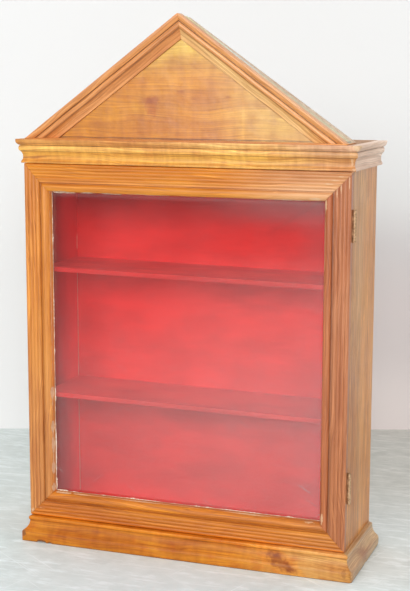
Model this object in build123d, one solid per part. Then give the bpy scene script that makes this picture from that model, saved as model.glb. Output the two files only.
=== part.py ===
# Glazed display case with a triangular pediment, a reeded door frame,
# two fixed shelves and a red painted interior.
from build123d import *
from math import atan2, cos, sin, radians, degrees
import os

os.makedirs("parts", exist_ok=True)

# ---------------------------------------------------------------- sizes, mm
CASE_W = 410.0            # over the outside of the two sides
CASE_REAR = 130.0         # rear edge of the sides, from the door front
CASE_FRONT = 10.4         # front edge of the sides, from the door front
SIDE_T = 9.0              # side board thickness
BACK_FRONT = 119.0        # inner face of the back panel
BACK_T = 6.0
REBATE = 4.0              # depth of the rear rebate in each side
HOUSING = 3.0             # depth of the shelf housings in each side
SHELF_T = 6.0
SHELF_TOPS = (352.0, 190.0)   # at the middle of the span
SHELF_TILT = 0.64         # degrees; both shelves sit a little low at the right
SHELF_FRONT = 19.0
BOTTOM_T = 9.0
TOP_T = 9.0
PLINTH_H = 31.2
PLINTH_OUT = 13.2         # greatest projection of the plinth
CORNICE_BOTTOM = 485.8
CASE_TOP = 515.2          # top of the cornice and of the top board
CORNICE_OUT = 12.0
HEAD_RAIL_BOTTOM = 472.0
HEAD_RAIL_T = 18.0

DOOR_L = -211.5           # left edge, overhangs the case as a finger grip
DOOR_R = 205.0
DOOR_BOTTOM = 31.9
DOOR_TOP = 485.0
LIP_T = 10.0              # part of the frame that covers the case edges
DOOR_T = 16.5             # full thickness, inner part sits in the opening
GLASS_Y = 12.5            # front face of the glass
GLASS_T = 2.0
REBATE_W = 6.2            # glass rebate width
OPENING_GAP = 1.0         # between the inner part of the door and the sides

HINGE_LEN = 38.0
HINGE_Z = (422.0, 109.0)  # hinge centres
BARREL_R = 2.1
PIN_R = 0.95
LEAF_T = 1.2
LEAF_W = 8.4              # flat part of each leaf
HINGE_X = CASE_W / 2 + 2.15
HINGE_Y = (LIP_T + CASE_FRONT) / 2
RUN_GAP = 0.05            # running clearance of the pin

PED_FRONT = -6.9          # front of the raking mouldings
PED_APEX = 664.8
PED_APEX_X = -4.3         # the apex stands a little left of centre
PED_BASE_H = 1.4
PED_L, PED_R = -205.0, 200.2   # feet of the two slopes on the base strip
RAKE_W = 24.3
TYMP_T = 15.0
BATTEN_T = 15.0           # battens behind the pediment panel
BATTEN_W = 16.0

SX = CASE_W / 2
IX = SX - SIDE_T          # inner face of the sides
Y_SHIFT = -(CASE_REAR - PLINTH_OUT) / 2   # centres the case on the origin


# ---------------------------------------------------------------- helpers
def box(x0, x1, y0, y1, z0, z1):
    return Pos((x0 + x1) / 2, (y0 + y1) / 2, (z0 + z1) / 2) * Box(
        abs(x1 - x0), abs(y1 - y0), abs(z1 - z0))


def rod(x, y, z, r, length, axis):
    # round bar that starts at the point and runs along +axis
    turn = {"X": Rotation(0, 90, 0), "Y": Rotation(-90, 0, 0), "Z": Rotation(0, 0, 0)}[axis]
    return Pos(x, y, z) * turn * (Pos(0, 0, length / 2) * Cylinder(r, length))


def solid_of(shape):
    found = shape.solids()
    return found[0] if len(found) == 1 else Compound(children=list(found))


def push(face, plane, length):
    # extrudes a flat section along the normal of the plane it is placed on
    return extrude(plane * face, amount=length, dir=plane.z_dir)


def prism(points, plane, length):
    return push(make_face(Polyline(*points, close=True)), plane, length)


def chain_face(steps):
    # steps: ("L", point) or ("A", mid, end); the chain starts at steps[0][1]
    here = steps[0][1]
    first = here
    edges = []
    for step in steps[1:]:
        if step[0] == "L":
            edges.append(Edge.make_line(Vector(*here), Vector(*step[1])))
            here = step[1]
        else:
            edges.append(Edge.make_three_point_arc(
                Vector(*here), Vector(*step[1]), Vector(*step[2])))
            here = step[2]
    edges.append(Edge.make_line(Vector(*here), Vector(*first)))
    return Face(Wire(edges))


def export(shape, name, colour):
    moved = Pos(0, Y_SHIFT, 0) * shape
    moved.label = name
    moved.color = Color(*colour)
    export_step(moved, "parts/" + name + ".step")


WOOD = (0.78, 0.48, 0.22)
RED = (0.75, 0.14, 0.16)
BRASS = (0.62, 0.5, 0.28)
GLASS = (0.85, 0.92, 0.92, 0.3)
IRON = (0.35, 0.33, 0.32)


# ------------------------------------------------------------ mouldings
def cornice_section(h1, h2, h3, back):
    # (distance below the top edge, projection); the back is at -back
    q = 0.5
    return chain_face([
        ("L", (0, -back)),
        ("L", (0, 12.0)),
        ("L", (2.0, 12.0)),
        ("L", (2.7, 11.75)),
        ("A", (h1 * 0.72, 10.6), (h1 - 0.2, 8.5)),
        ("L", (h1, 7.4)),
        ("L", (h1 + q, 7.4)),
        ("L", (h1 + q, 8.2)),
        ("A", ((h1 + h2) / 2, 8.9), (h2 - q, 8.2)),
        ("L", (h2 - q, 7.2)),
        ("L", (h2, 7.2)),
        ("A", (h2 + (h3 - h2) * 0.20, 5.4), (h2 + (h3 - h2) * 0.46, 4.8)),
        ("A", (h2 + (h3 - h2) * 0.68, 5.2), (h2 + (h3 - h2) * 0.84, 6.6)),
        ("L", (h3, 6.6)),
        ("L", (h3, -back)),
    ])


def rake_section(h1, h2, h3):
    # (distance below the upper edge, projection); the hollow dies out close
    # to the face of the panel
    q = 0.5
    return chain_face([
        ("L", (0, 0)),
        ("L", (0, 12.0)),
        ("L", (2.2, 12.0)),
        ("A", (h1 * 0.72, 10.9), (h1 - 0.2, 9.0)),
        ("L", (h1, 7.8)),
        ("L", (h1 + q, 7.8)),
        ("L", (h1 + q, 8.7)),
        ("A", ((h1 + h2) / 2, 9.6), (h2 - q, 8.7)),
        ("L", (h2 - q, 7.6)),
        ("L", (h2, 7.6)),
        ("A", (h2 + (h3 - h2) * 0.42, 3.7), (h3 - 1.0, 2.1)),
        ("L", (h3, 1.9)),
        ("L", (h3, 0)),
    ])


def plinth_section(back):
    # (height above the floor, projection)
    return chain_face([
        ("L", (0, -back)),
        ("L", (0, 12.3)),
        ("A", (2.4, 13.0), (5.2, PLINTH_OUT)),
        ("L", (8.4, PLINTH_OUT)),
        ("A", (11.6, 12.8), (13.8, 11.5)),
        ("A", (18.2, 7.0), (24.8, 4.8)),
        ("L", (26.4, 4.8)),
        ("L", (26.8, 5.4)),
        ("A", (29.2, 5.9), (PLINTH_H, 5.3)),
        ("L", (PLINTH_H, -back)),
    ])


def run_front(face_maker, z_origin, up, *args):
    # moulding along X in front of the case; section x axis is +Z or -Z
    # y_dir of the plane is -Y, the direction in which the moulding projects
    plane = Plane(origin=(-240 * up, 0, z_origin), x_dir=(0, 0, up), z_dir=(up, 0, 0))
    return push(face_maker(*args), plane, 480)


def run_side(face_maker, z_origin, up, *args):
    # moulding along Y against the right side
    # y_dir of the plane is +X, the direction in which the moulding projects
    start = -20 if up > 0 else 160
    plane = Plane(origin=(SX, start, z_origin), x_dir=(0, 0, up), z_dir=(0, up, 0))
    return push(face_maker(*args), plane, 180)


def corner_split(z0, z1):
    # plan shapes that divide a moulding at its two mitred front corners
    far = 60.0
    front_pts = [(-SX - far, -far), (SX + far, -far), (SX, 0), (SX, CASE_FRONT),
                 (-SX, CASE_FRONT), (-SX, 0)]
    right_pts = [(SX + far, -far), (SX + far, CASE_REAR), (SX, CASE_REAR), (SX, 0)]
    base = Plane(origin=(0, 0, z0), x_dir=(1, 0, 0), z_dir=(0, 0, 1))
    return prism(front_pts, base, z1 - z0), prism(right_pts, base, z1 - z0)


def worn_corner(out, left_r, right_r, z0, z1):
    # plan outline with the outer front corners rounded by wear
    shape = None
    for sign, radius in ((-1, left_r), (1, right_r)):
        plan = Pos(0, (CASE_REAR - out) / 2 + 40) * RectangleRounded(
            2 * (SX + out), CASE_REAR + out + 80, radius)
        half = push(plan, Plane(origin=(0, 0, z0)), z1 - z0)
        half &= box(0, sign * 300, -100, 300, z0 - 1, z1 + 1)
        shape = half if shape is None else shape + half
    return shape


front_cut, right_cut = corner_split(0, PLINTH_H + 1)
wear = worn_corner(PLINTH_OUT, 3.0, 7.0, -1, PLINTH_H + 1)
plinth_front = run_front(plinth_section, 0, 1, CASE_FRONT) & front_cut & wear
plinth_side = run_side(plinth_section, 0, 1, 0.0) & right_cut
plinth_right = plinth_side & wear
plinth_left = mirror(plinth_side, about=Plane.YZ) & wear

front_cut, right_cut = corner_split(CORNICE_BOTTOM - 1, CASE_TOP + 1)
wear = worn_corner(CORNICE_OUT, 2.0, 4.0, CORNICE_BOTTOM - 1, CASE_TOP + 1)
C1, C2, C3 = 7.4, 14.9, CASE_TOP - CORNICE_BOTTOM
cornice_front = run_front(cornice_section, CASE_TOP, -1, C1, C2, C3, CASE_FRONT) & front_cut & wear
cornice_side = run_side(cornice_section, CASE_TOP, -1, C1, C2, C3, 0.0) & right_cut
cornice_right = cornice_side & wear
cornice_left = mirror(cornice_side, about=Plane.YZ) & wear

# ------------------------------------------------------------ carcass
side_top = CASE_TOP - TOP_T
side = box(IX, SX, CASE_FRONT, CASE_REAR, 0, side_top)
side -= box(IX - 1, IX + REBATE, BACK_FRONT, CASE_REAR + 1, -1, side_top + 1)
shelves = []
for top in SHELF_TOPS:
    board = box(-IX - HOUSING, IX + HOUSING, SHELF_FRONT, BACK_FRONT, top - SHELF_T, top)
    middle = top - SHELF_T / 2
    shelves.append(Pos(0, 0, middle) * Rot(0, SHELF_TILT, 0) * Pos(0, 0, -middle) * board)
bottom_board = box(-IX - HOUSING, IX + HOUSING, CASE_FRONT, BACK_FRONT,
                   PLINTH_H - 0.2 - BOTTOM_T, PLINTH_H - 0.2)
head_rail = box(-IX, IX, CASE_FRONT, CASE_FRONT + HEAD_RAIL_T, HEAD_RAIL_BOTTOM, side_top)
head_rail += box(-IX - HOUSING, IX + HOUSING, CASE_FRONT + 5, CASE_FRONT + 13,
                 HEAD_RAIL_BOTTOM + 6, side_top)
for piece in (bottom_board, head_rail):
    side -= piece
side_right = side
side_left = mirror(side, about=Plane.YZ)
for shelf in shelves:
    side_right -= shelf
    side_left -= shelf

top_board = box(-SX, SX, CASE_FRONT, CASE_REAR, side_top, CASE_TOP)
back_panel = box(-IX - REBATE, IX + REBATE, BACK_FRONT, BACK_FRONT + BACK_T, 6, side_top)

# nails through the top board into the sides
NAIL_R, NAIL_L, NAIL_HEAD_R, NAIL_HEAD_T = 0.9, 24.0, 1.9, 0.8
top_nails = []
for sx in (-1, 1):
    for y in (34.0, 70.0, 106.0):
        x = sx * (SX - 4.2)
        nail = rod(x, y, CASE_TOP - NAIL_L, NAIL_R, NAIL_L - NAIL_HEAD_T, "Z")
        nail += rod(x, y, CASE_TOP - NAIL_HEAD_T, NAIL_HEAD_R, NAIL_HEAD_T, "Z")
        top_nails.append(nail)
for nail in top_nails:
    top_board -= nail
    side_left -= nail
    side_right -= nail

# pins through the back panel into the shoulders of the sides and shelves
PIN_LEN = 16.0
back_pins = []
rear = BACK_FRONT + BACK_T
spots = [(sx * (IX + 2.0), z) for sx in (-1, 1) for z in (60.0, 145.0, 230.0, 315.0, 400.0, 478.0)]
spots += [(x, top - SHELF_T / 2) for x in (-110.0, 0.0, 110.0) for top in SHELF_TOPS]
spots += [(x, PLINTH_H - 0.2 - BOTTOM_T / 2) for x in (-110.0, 110.0)]
for x, z in spots:
    pin = rod(x, rear - PIN_LEN, z, 0.6, PIN_LEN, "Y")
    pin += rod(x, rear - 0.6, z, 1.2, 0.6, "Y")
    back_pins.append(pin)
for pin in back_pins:
    back_panel -= pin
for i, pin in enumerate(back_pins):
    x, z = spots[i]
    if abs(x) > IX:
        if x > 0:
            side_right -= pin
        else:
            side_left -= pin
    elif abs(z - (SHELF_TOPS[0] - SHELF_T / 2)) < 1:
        shelves[0] -= pin
    elif abs(z - (SHELF_TOPS[1] - SHELF_T / 2)) < 1:
        shelves[1] -= pin
    else:
        bottom_board -= pin

# glue blocks inside the plinth, below the bottom board
def glue_block(x, y, z, length, along, quarter):
    # triangular bar, right angle at (x, y, z) for along X or Y
    leg = 14.0
    if along == "X":
        sy, sz = quarter
        plane = Plane(origin=(x - length / 2, y, z), x_dir=(0, 1, 0), z_dir=(1, 0, 0))
        return prism([(0, 0), (sy * leg, 0), (0, sz * leg)], plane, length)
    sx, sz = quarter
    plane = Plane(origin=(x, y + length / 2, z), x_dir=(1, 0, 0), z_dir=(0, -1, 0))
    return prism([(0, 0), (sx * leg, 0), (0, sz * leg)], plane, length)


under = PLINTH_H - 0.2 - BOTTOM_T
base_blocks = [glue_block(x, CASE_FRONT, under, 44.0, "X", (1, -1)) for x in (-120.0, 0.0, 120.0)]
base_blocks += [glue_block(sx * IX, 70.0, under, 44.0, "Y", (-sx, -1)) for sx in (-1, 1)]

# ------------------------------------------------------------ pediment
board_front = PED_FRONT + CORNICE_OUT
ped_back = board_front + TYMP_T
foot_z = CASE_TOP + PED_BASE_H
pediment_base = box(PED_L - 0.7, PED_R + 0.7, PED_FRONT, ped_back + BATTEN_T,
                    CASE_TOP, foot_z)


def elevation(points, front, depth):
    # flat outline (x, z) seen from the front, from y = front backwards
    plane = Plane(origin=(0, front + depth, 0), x_dir=(1, 0, 0), z_dir=(0, -1, 0))
    return prism(points, plane, depth)


def worn_triangle(top, front, depth, radius):
    face = make_face(Polyline((PED_L, foot_z), (PED_R, foot_z), (PED_APEX_X, top), close=True))
    face = fillet(face.vertices().sort_by(Axis.Y)[-1], radius)
    plane = Plane(origin=(0, front + depth, 0), x_dir=(1, 0, 0), z_dir=(0, -1, 0))
    return push(face, plane, depth)


rise = PED_APEX - foot_z
slope_r = atan2(rise, PED_R - PED_APEX_X)
slope_l = atan2(rise, PED_APEX_X - PED_L)
# the mitre at the apex halves the angle between the two slopes
mx, mz = cos(slope_r) - cos(slope_l), -(sin(slope_r) + sin(slope_l))
mitre_up = (PED_APEX_X - 0.1 * mx * 300, PED_APEX - 0.1 * mz * 300)
mitre_dn = (PED_APEX_X + mx * 150, PED_APEX + mz * 150)
half_r = [mitre_up, mitre_dn, (260, mitre_dn[1]), (260, mitre_up[1])]
half_l = [mitre_up, mitre_dn, (-260, mitre_dn[1]), (-260, mitre_up[1])]


def rake(slope, foot):
    face = rake_section(7.2, 13.8, RAKE_W)
    plane = Plane(origin=(foot + 60 * cos(slope), board_front, foot_z - 60 * sin(slope)),
                  x_dir=(-sin(slope), 0, -cos(slope)), z_dir=(-cos(slope), 0, sin(slope)))
    return push(face, plane, 420)


above = box(-260, 260, -40, 60, foot_z, 700)
tip = worn_triangle(PED_APEX, -30, 60, 3.0)
rake_right = rake(slope_r, PED_R) & above & elevation(half_r, -30, 60) & tip
rake_left = mirror(rake(slope_l, -PED_L), about=Plane.YZ) & above & elevation(half_l, -30, 60) & tip
tympanum_panel = worn_triangle(PED_APEX - 2.2, board_front, TYMP_T, 2.5)

# battens glued behind the two slopes of the panel, cut a little flatter
batten_top = PED_APEX - 3.9
foot_r, foot_l = PED_R + 0.7, PED_L - 0.4


def batten(foot):
    dx, dz = foot - PED_APEX_X, batten_top - foot_z
    length = (dx * dx + dz * dz) ** 0.5
    inner_foot = foot - BATTEN_W * length / dz * (1 if foot > 0 else -1)
    inner_top = batten_top - BATTEN_W * length / abs(dx)
    points = [(PED_APEX_X, batten_top), (foot, foot_z), (inner_foot, foot_z), (PED_APEX_X, inner_top)]
    return elevation(points, ped_back, BATTEN_T)


batten_right = batten(foot_r)
batten_left = batten(foot_l)
pediment_blocks = [glue_block(x, ped_back, foot_z, 46.0, "X", (1, 1)) for x in (-110.0, 0.0, 110.0)]

# ------------------------------------------------------------ door frame
INNER_L, INNER_R = DOOR_L + 32.1, DOOR_R - 32.1
INNER_B, INNER_T = DOOR_BOTTOM + 32.3, 449.9


def frame_section(valleys, groove, crest, arris, lip):
    # (distance from the outer edge, forward); back of the frame is at -DOOR_T
    v = 0.85
    steps = [("L", (0, -LIP_T)), ("L", (0, -v - 0.3))]
    last = 0.0
    for edge in valleys:
        steps.append(("A", ((last + edge) / 2, 0.0), (edge, -v)))
        last = edge
    g = groove
    steps += [
        ("L", (g - 1.1, -v + 0.5)),
        ("L", (g - 0.7, -2.9)),
        ("L", (g + 0.5, -2.9)),
        ("L", (g + 0.9, -1.9)),
        ("A", (g + (crest - g) * 0.5, -0.5), (crest, -0.1)),
        ("A", (crest + (arris - crest) * 0.72, -2.1), (arris, -6.0)),
        ("L", (arris, -GLASS_Y)),
        ("L", (arris - REBATE_W, -GLASS_Y)),
        ("L", (arris - REBATE_W, -DOOR_T)),
        ("L", (lip, -DOOR_T)),
        ("L", (lip, -LIP_T)),
    ]
    return chain_face(steps)


STILE_VALLEYS = (4.9, 9.7, 14.5, 19.2)
RAIL_VALLEYS = (4.2, 8.7, 13.2, 17.7)
TOP_VALLEYS = (3.9, 8.0, 12.4, 16.7, 20.9)
stile_r = frame_section(STILE_VALLEYS, 21.3, 26.7, 32.1, DOOR_R - IX + OPENING_GAP)
stile_l = frame_section(STILE_VALLEYS, 21.3, 26.7, 32.1, -IX + OPENING_GAP - DOOR_L)
rail_b = frame_section(RAIL_VALLEYS + (), 21.4, 26.8, INNER_B - DOOR_BOTTOM, 10.0)
rail_t = frame_section(TOP_VALLEYS, 24.4, 29.6, DOOR_TOP - INNER_T, DOOR_TOP - HEAD_RAIL_BOTTOM + OPENING_GAP)

# every member is a full-length run, cut back along the mitres below
pl = Plane(origin=(DOOR_R, 0, 0), x_dir=(-1, 0, 0), z_dir=(0, 0, 1))
door_stile_right = push(stile_r, pl, 600)
pl = Plane(origin=(DOOR_L, 0, 600), x_dir=(1, 0, 0), z_dir=(0, 0, -1))
door_stile_left = push(stile_l, pl, 600)
pl = Plane(origin=(-240, 0, DOOR_BOTTOM), x_dir=(0, 0, 1), z_dir=(1, 0, 0))
door_rail_bottom = push(rail_b, pl, 480)
pl = Plane(origin=(240, 0, DOOR_TOP), x_dir=(0, 0, -1), z_dir=(-1, 0, 0))
door_rail_top = push(rail_t, pl, 480)

xz = Plane(origin=(0, 40, 0), x_dir=(1, 0, 0), z_dir=(0, -1, 0))
cx, cz = (INNER_L + INNER_R) / 2, (INNER_B + INNER_T) / 2
TR_Z = INNER_T + (DOOR_R - INNER_R)      # where the right mitre leaves the frame
shape_l = [(DOOR_L, DOOR_BOTTOM), (INNER_L, INNER_B), (INNER_L, INNER_T), (DOOR_L, DOOR_TOP)]
shape_r = [(DOOR_R, DOOR_BOTTOM), (INNER_R, INNER_B), (INNER_R, INNER_T), (DOOR_R, TR_Z)]
shape_b = [(DOOR_L, DOOR_BOTTOM), (DOOR_R, DOOR_BOTTOM), (INNER_R, INNER_B), (INNER_L, INNER_B)]
shape_t = [(DOOR_L, DOOR_TOP), (DOOR_R, DOOR_TOP), (DOOR_R, TR_Z), (INNER_R, INNER_T), (INNER_L, INNER_T)]
door_stile_left &= prism(shape_l, xz, 60)
door_stile_right &= prism(shape_r, xz, 60)
door_rail_bottom &= prism(shape_b, xz, 60)
door_rail_top &= prism(shape_t, xz, 60)

# behind the lip the frame is cut back to fit inside the opening of the case
outside = box(-300, 300, LIP_T, 60, -20, 620) - box(
    -IX + OPENING_GAP, IX - OPENING_GAP, LIP_T - 1, 61,
    DOOR_BOTTOM + 10.0, HEAD_RAIL_BOTTOM - OPENING_GAP)
door_stile_left -= outside
door_stile_right -= outside
door_rail_bottom -= outside
door_rail_top -= outside

# loose tongues glued across the mitres, out of sight inside the wood
TONGUE = (16.0, 3.0, 11.0)     # across the mitre, thickness, along the mitre
tongues = []
for (ox, oz), (nx, nz) in (((DOOR_L, DOOR_BOTTOM), (INNER_L, INNER_B)),
                           ((DOOR_R, DOOR_BOTTOM), (INNER_R, INNER_B)),
                           ((DOOR_R, TR_Z), (INNER_R, INNER_T)),
                           ((DOOR_L, DOOR_TOP), (INNER_L, INNER_T))):
    mx, mz = ox + (nx - ox) * 0.44, oz + (nz - oz) * 0.44
    turn = degrees(atan2(nz - oz, nx - ox))
    bar = Box(TONGUE[2], TONGUE[1], TONGUE[0])
    tongues.append(Pos(mx, 6.6, mz) * Rotation(0, -turn, 0) * bar)
for t in tongues:
    door_stile_left -= t
    door_stile_right -= t
    door_rail_bottom -= t
    door_rail_top -= t

# glass and beads
glass_gap = 0.8
gx0, gx1 = INNER_L - REBATE_W + glass_gap, INNER_R + REBATE_W - glass_gap
gz0, gz1 = INNER_B - REBATE_W + glass_gap, INNER_T + REBATE_W - glass_gap
glass_pane = box(gx0, gx1, GLASS_Y, GLASS_Y + GLASS_T, gz0, gz1)
rx0, rx1, rz0, rz1 = INNER_L - REBATE_W, INNER_R + REBATE_W, INNER_B - REBATE_W, INNER_T + REBATE_W
bead_w, bead_y0, bead_y1 = 5.4, GLASS_Y + GLASS_T, DOOR_T
bead_all = box(rx0, rx1, bead_y0, bead_y1, rz0, rz1) - box(
    rx0 + bead_w, rx1 - bead_w, bead_y0 - 1, bead_y1 + 1, rz0 + bead_w, rz1 - bead_w)


def bead(points):
    return bead_all & prism(points, xz, 60)


mid = 80.0
bead_left = bead([(rx0, rz0), (rx0 + mid, rz0 + mid), (rx0 + mid, rz1 - mid), (rx0, rz1)])
bead_right = bead([(rx1, rz0), (rx1 - mid, rz0 + mid), (rx1 - mid, rz1 - mid), (rx1, rz1)])
bead_bottom = bead([(rx0, rz0), (rx1, rz0), (rx1 - mid, rz0 + mid), (rx0 + mid, rz0 + mid)])
bead_top = bead([(rx0, rz1), (rx1, rz1), (rx1 - mid, rz1 - mid), (rx0 + mid, rz1 - mid)])

# ------------------------------------------------------------ hinges
KNUCKLES = 5
SCREW_R, SCREW_HEAD_R, SCREW_L = 1.15, 2.2, 7.0
hinges = {}
screws_case, screws_door = [], []
for name, zc in zip(("upper", "lower"), HINGE_Z):
    z0 = zc - HINGE_LEN / 2
    step = HINGE_LEN / KNUCKLES
    pin = rod(HINGE_X, HINGE_Y, z0, PIN_R, HINGE_LEN, "Z")
    case_y0 = CASE_FRONT
    case_leaf = box(IX + 0.9, HINGE_X - 0.4, case_y0, case_y0 + LEAF_T, z0, z0 + HINGE_LEN)
    door_leaf = box(IX + 0.9, HINGE_X - 0.4, LIP_T - LEAF_T, LIP_T, z0, z0 + HINGE_LEN)
    gap = 0.15
    for k in range(KNUCKLES):
        za, zb = z0 + k * step, z0 + (k + 1) * step
        lo = za + (gap if k > 0 else 0)
        hi = zb - (gap if k < KNUCKLES - 1 else 0)
        barrel = rod(HINGE_X, HINGE_Y, lo, BARREL_R, hi - lo, "Z")
        clear = box(HINGE_X - BARREL_R - 0.25, HINGE_X + 5, HINGE_Y - 4, HINGE_Y + 4, za - gap * (k > 0), zb + gap * (k < KNUCKLES - 1))
        if k % 2 == 0:
            case_leaf += barrel
            door_leaf -= clear
        else:
            door_leaf += barrel
            case_leaf -= clear
    bore_fixed = rod(HINGE_X, HINGE_Y, z0 - 1, PIN_R, HINGE_LEN + 2, "Z")
    bore_run = rod(HINGE_X, HINGE_Y, z0 - 1, PIN_R + RUN_GAP, HINGE_LEN + 2, "Z")
    case_leaf -= bore_fixed
    door_leaf -= bore_run
    # the leaves are let in flush
    pocket_case = box(IX + 0.9, SX + 1, case_y0 - 0.01, case_y0 + LEAF_T, z0, z0 + HINGE_LEN)
    pocket_door = box(IX + 0.9, SX + 1, LIP_T - LEAF_T, LIP_T + 0.01, z0, z0 + HINGE_LEN)
    side_right -= pocket_case
    door_stile_right -= pocket_door
    for dz in (-11.5, 11.5):
        z = zc + dz
        x = IX + 0.9 + LEAF_W / 2 - 0.3
        s = rod(x, case_y0 + 0.02, z, SCREW_HEAD_R, 0.3, "Y")
        cone = Pos(x, case_y0 + 0.32 + 0.44, z) * Rotation(-90, 0, 0) * Cone(SCREW_HEAD_R, SCREW_R, 0.88)
        s = s + cone + rod(x, case_y0 + 1.2, z, SCREW_R, SCREW_L - 1.2, "Y")
        s -= box(x - 3, x + 3, case_y0 - 1, case_y0 + 0.5, z - 0.25, z + 0.25)
        screws_case.append(s)
        s2 = rod(x, LIP_T - 0.32, z, SCREW_HEAD_R, 0.3, "Y")
        cone = Pos(x, LIP_T - 0.32 - 0.44, z) * Rotation(90, 0, 0) * Cone(SCREW_HEAD_R, SCREW_R, 0.88)
        s2 = s2 + cone + rod(x, LIP_T - SCREW_L, z, SCREW_R, SCREW_L - 1.2, "Y")
        s2 -= box(x - 3, x + 3, LIP_T - 0.5, LIP_T + 1, z - 0.25, z + 0.25)
        screws_door.append(s2)
        # seats without the slot
        seat = rod(x, case_y0 - 0.5, z, SCREW_HEAD_R, 0.82, "Y")
        seat += Pos(x, case_y0 + 0.32 + 0.44, z) * Rotation(-90, 0, 0) * Cone(SCREW_HEAD_R, SCREW_R, 0.88)
        seat += rod(x, case_y0 + 1.1, z, SCREW_R, SCREW_L - 1.1, "Y")
        case_leaf -= seat
        side_right -= seat
        seat = rod(x, LIP_T - 0.32, z, SCREW_HEAD_R, 0.82, "Y")
        seat += Pos(x, LIP_T - 0.32 - 0.44, z) * Rotation(90, 0, 0) * Cone(SCREW_HEAD_R, SCREW_R, 0.88)
        seat += rod(x, LIP_T - SCREW_L, z, SCREW_R, SCREW_L - 1.1, "Y")
        door_leaf -= seat
        door_stile_right -= seat
    hinges[name] = (case_leaf, door_leaf, pin)

# ------------------------------------------------------------ ball catch
CATCH_Z = 258.0
catch_x = -(IX + 4.5)
barrel_len, barrel_r, ball_r = 9.0, 2.8, 1.9
catch_barrel = rod(catch_x, CASE_FRONT, CATCH_Z, barrel_r, barrel_len, "Y")
side_left -= catch_barrel
ball_y = CASE_FRONT + 0.75
pocket = rod(catch_x, CASE_FRONT - 0.5, CATCH_Z, ball_r, 0.5 + 0.75 + 5.0, "Y")
catch_barrel -= pocket
catch_ball = Pos(catch_x, ball_y, CATCH_Z) * Sphere(ball_r)
STRIKE_T = 0.8
catch_strike = box(catch_x - 4.2, catch_x + 4.2, LIP_T - STRIKE_T, LIP_T, CATCH_Z - 9, CATCH_Z + 9)
door_stile_left -= catch_strike
dimple = Pos(catch_x, ball_y, CATCH_Z) * Sphere(ball_r + 0.12)
catch_strike -= dimple
door_stile_left -= dimple
strike_pins = []
for dz in (-6.3, 6.3):
    p = rod(catch_x, LIP_T - 6.0, CATCH_Z + dz, 0.7, 6.0, "Y")
    strike_pins.append(p)
    catch_strike -= p
    door_stile_left -= p

# ------------------------------------------------------------ export
pieces = {
    "side_left": (side_left, WOOD), "side_right": (side_right, WOOD),
    "top_board": (top_board, WOOD), "bottom_board": (bottom_board, RED),
    "back_panel": (back_panel, RED), "shelf_upper": (shelves[0], RED),
    "shelf_lower": (shelves[1], RED), "head_rail": (head_rail, WOOD),
    "cornice_front": (cornice_front, WOOD), "cornice_left": (cornice_left, WOOD),
    "cornice_right": (cornice_right, WOOD), "plinth_front": (plinth_front, WOOD),
    "plinth_left": (plinth_left, WOOD), "plinth_right": (plinth_right, WOOD),
    "pediment_base": (pediment_base, WOOD), "tympanum_panel": (tympanum_panel, WOOD),
    "rake_left": (rake_left, WOOD), "rake_right": (rake_right, WOOD),
    "pediment_batten_left": (batten_left, WOOD), "pediment_batten_right": (batten_right, WOOD),
    "door_stile_left": (door_stile_left, WOOD), "door_stile_right": (door_stile_right, WOOD),
    "door_rail_top": (door_rail_top, WOOD), "door_rail_bottom": (door_rail_bottom, WOOD),
    "glass_pane": (glass_pane, GLASS), "bead_left": (bead_left, WOOD),
    "bead_right": (bead_right, WOOD), "bead_top": (bead_top, WOOD),
    "bead_bottom": (bead_bottom, WOOD), "catch_barrel": (catch_barrel, BRASS),
    "catch_ball": (catch_ball, IRON), "catch_strike": (catch_strike, BRASS),
}
for name, (case_leaf, door_leaf, pin) in hinges.items():
    pieces["hinge_" + name + "_case_leaf"] = (case_leaf, BRASS)
    pieces["hinge_" + name + "_door_leaf"] = (door_leaf, BRASS)
    pieces["hinge_" + name + "_pin"] = (pin, BRASS)
groups = {
    "base_blocks": (base_blocks, WOOD), "pediment_blocks": (pediment_blocks, WOOD),
    "top_nails": (top_nails, IRON), "back_pins": (back_pins, IRON),
    "door_mitre_tongues": (tongues, WOOD), "strike_pins": (strike_pins, BRASS),
    "hinge_screws_case": (screws_case, BRASS), "hinge_screws_door": (screws_door, BRASS),
}
for name, (shape, colour) in pieces.items():
    export(solid_of(shape), name, colour)
for name, (shapes, colour) in groups.items():
    export(Compound(children=[solid_of(s) for s in shapes]), name, colour)
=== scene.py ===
import bpy, bmesh, math
from mathutils import Vector, Matrix, noise
from mathutils.bvhtree import BVHTree


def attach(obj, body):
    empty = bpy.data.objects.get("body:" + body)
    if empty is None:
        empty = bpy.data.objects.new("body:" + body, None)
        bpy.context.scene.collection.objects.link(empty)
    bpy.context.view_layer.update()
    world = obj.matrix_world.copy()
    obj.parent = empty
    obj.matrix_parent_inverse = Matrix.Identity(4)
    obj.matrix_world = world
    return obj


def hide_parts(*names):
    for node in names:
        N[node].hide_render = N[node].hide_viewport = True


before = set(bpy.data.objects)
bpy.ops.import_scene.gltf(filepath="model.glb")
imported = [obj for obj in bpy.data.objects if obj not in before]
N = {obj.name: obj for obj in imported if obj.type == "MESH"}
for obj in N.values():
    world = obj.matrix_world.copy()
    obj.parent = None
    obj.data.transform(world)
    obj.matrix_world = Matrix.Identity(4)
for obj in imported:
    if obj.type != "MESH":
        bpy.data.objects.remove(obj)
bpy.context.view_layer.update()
scene = bpy.context.scene
SH = 58.4          # mm from the row frame's y to the case's own y (door front = 0)

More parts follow.
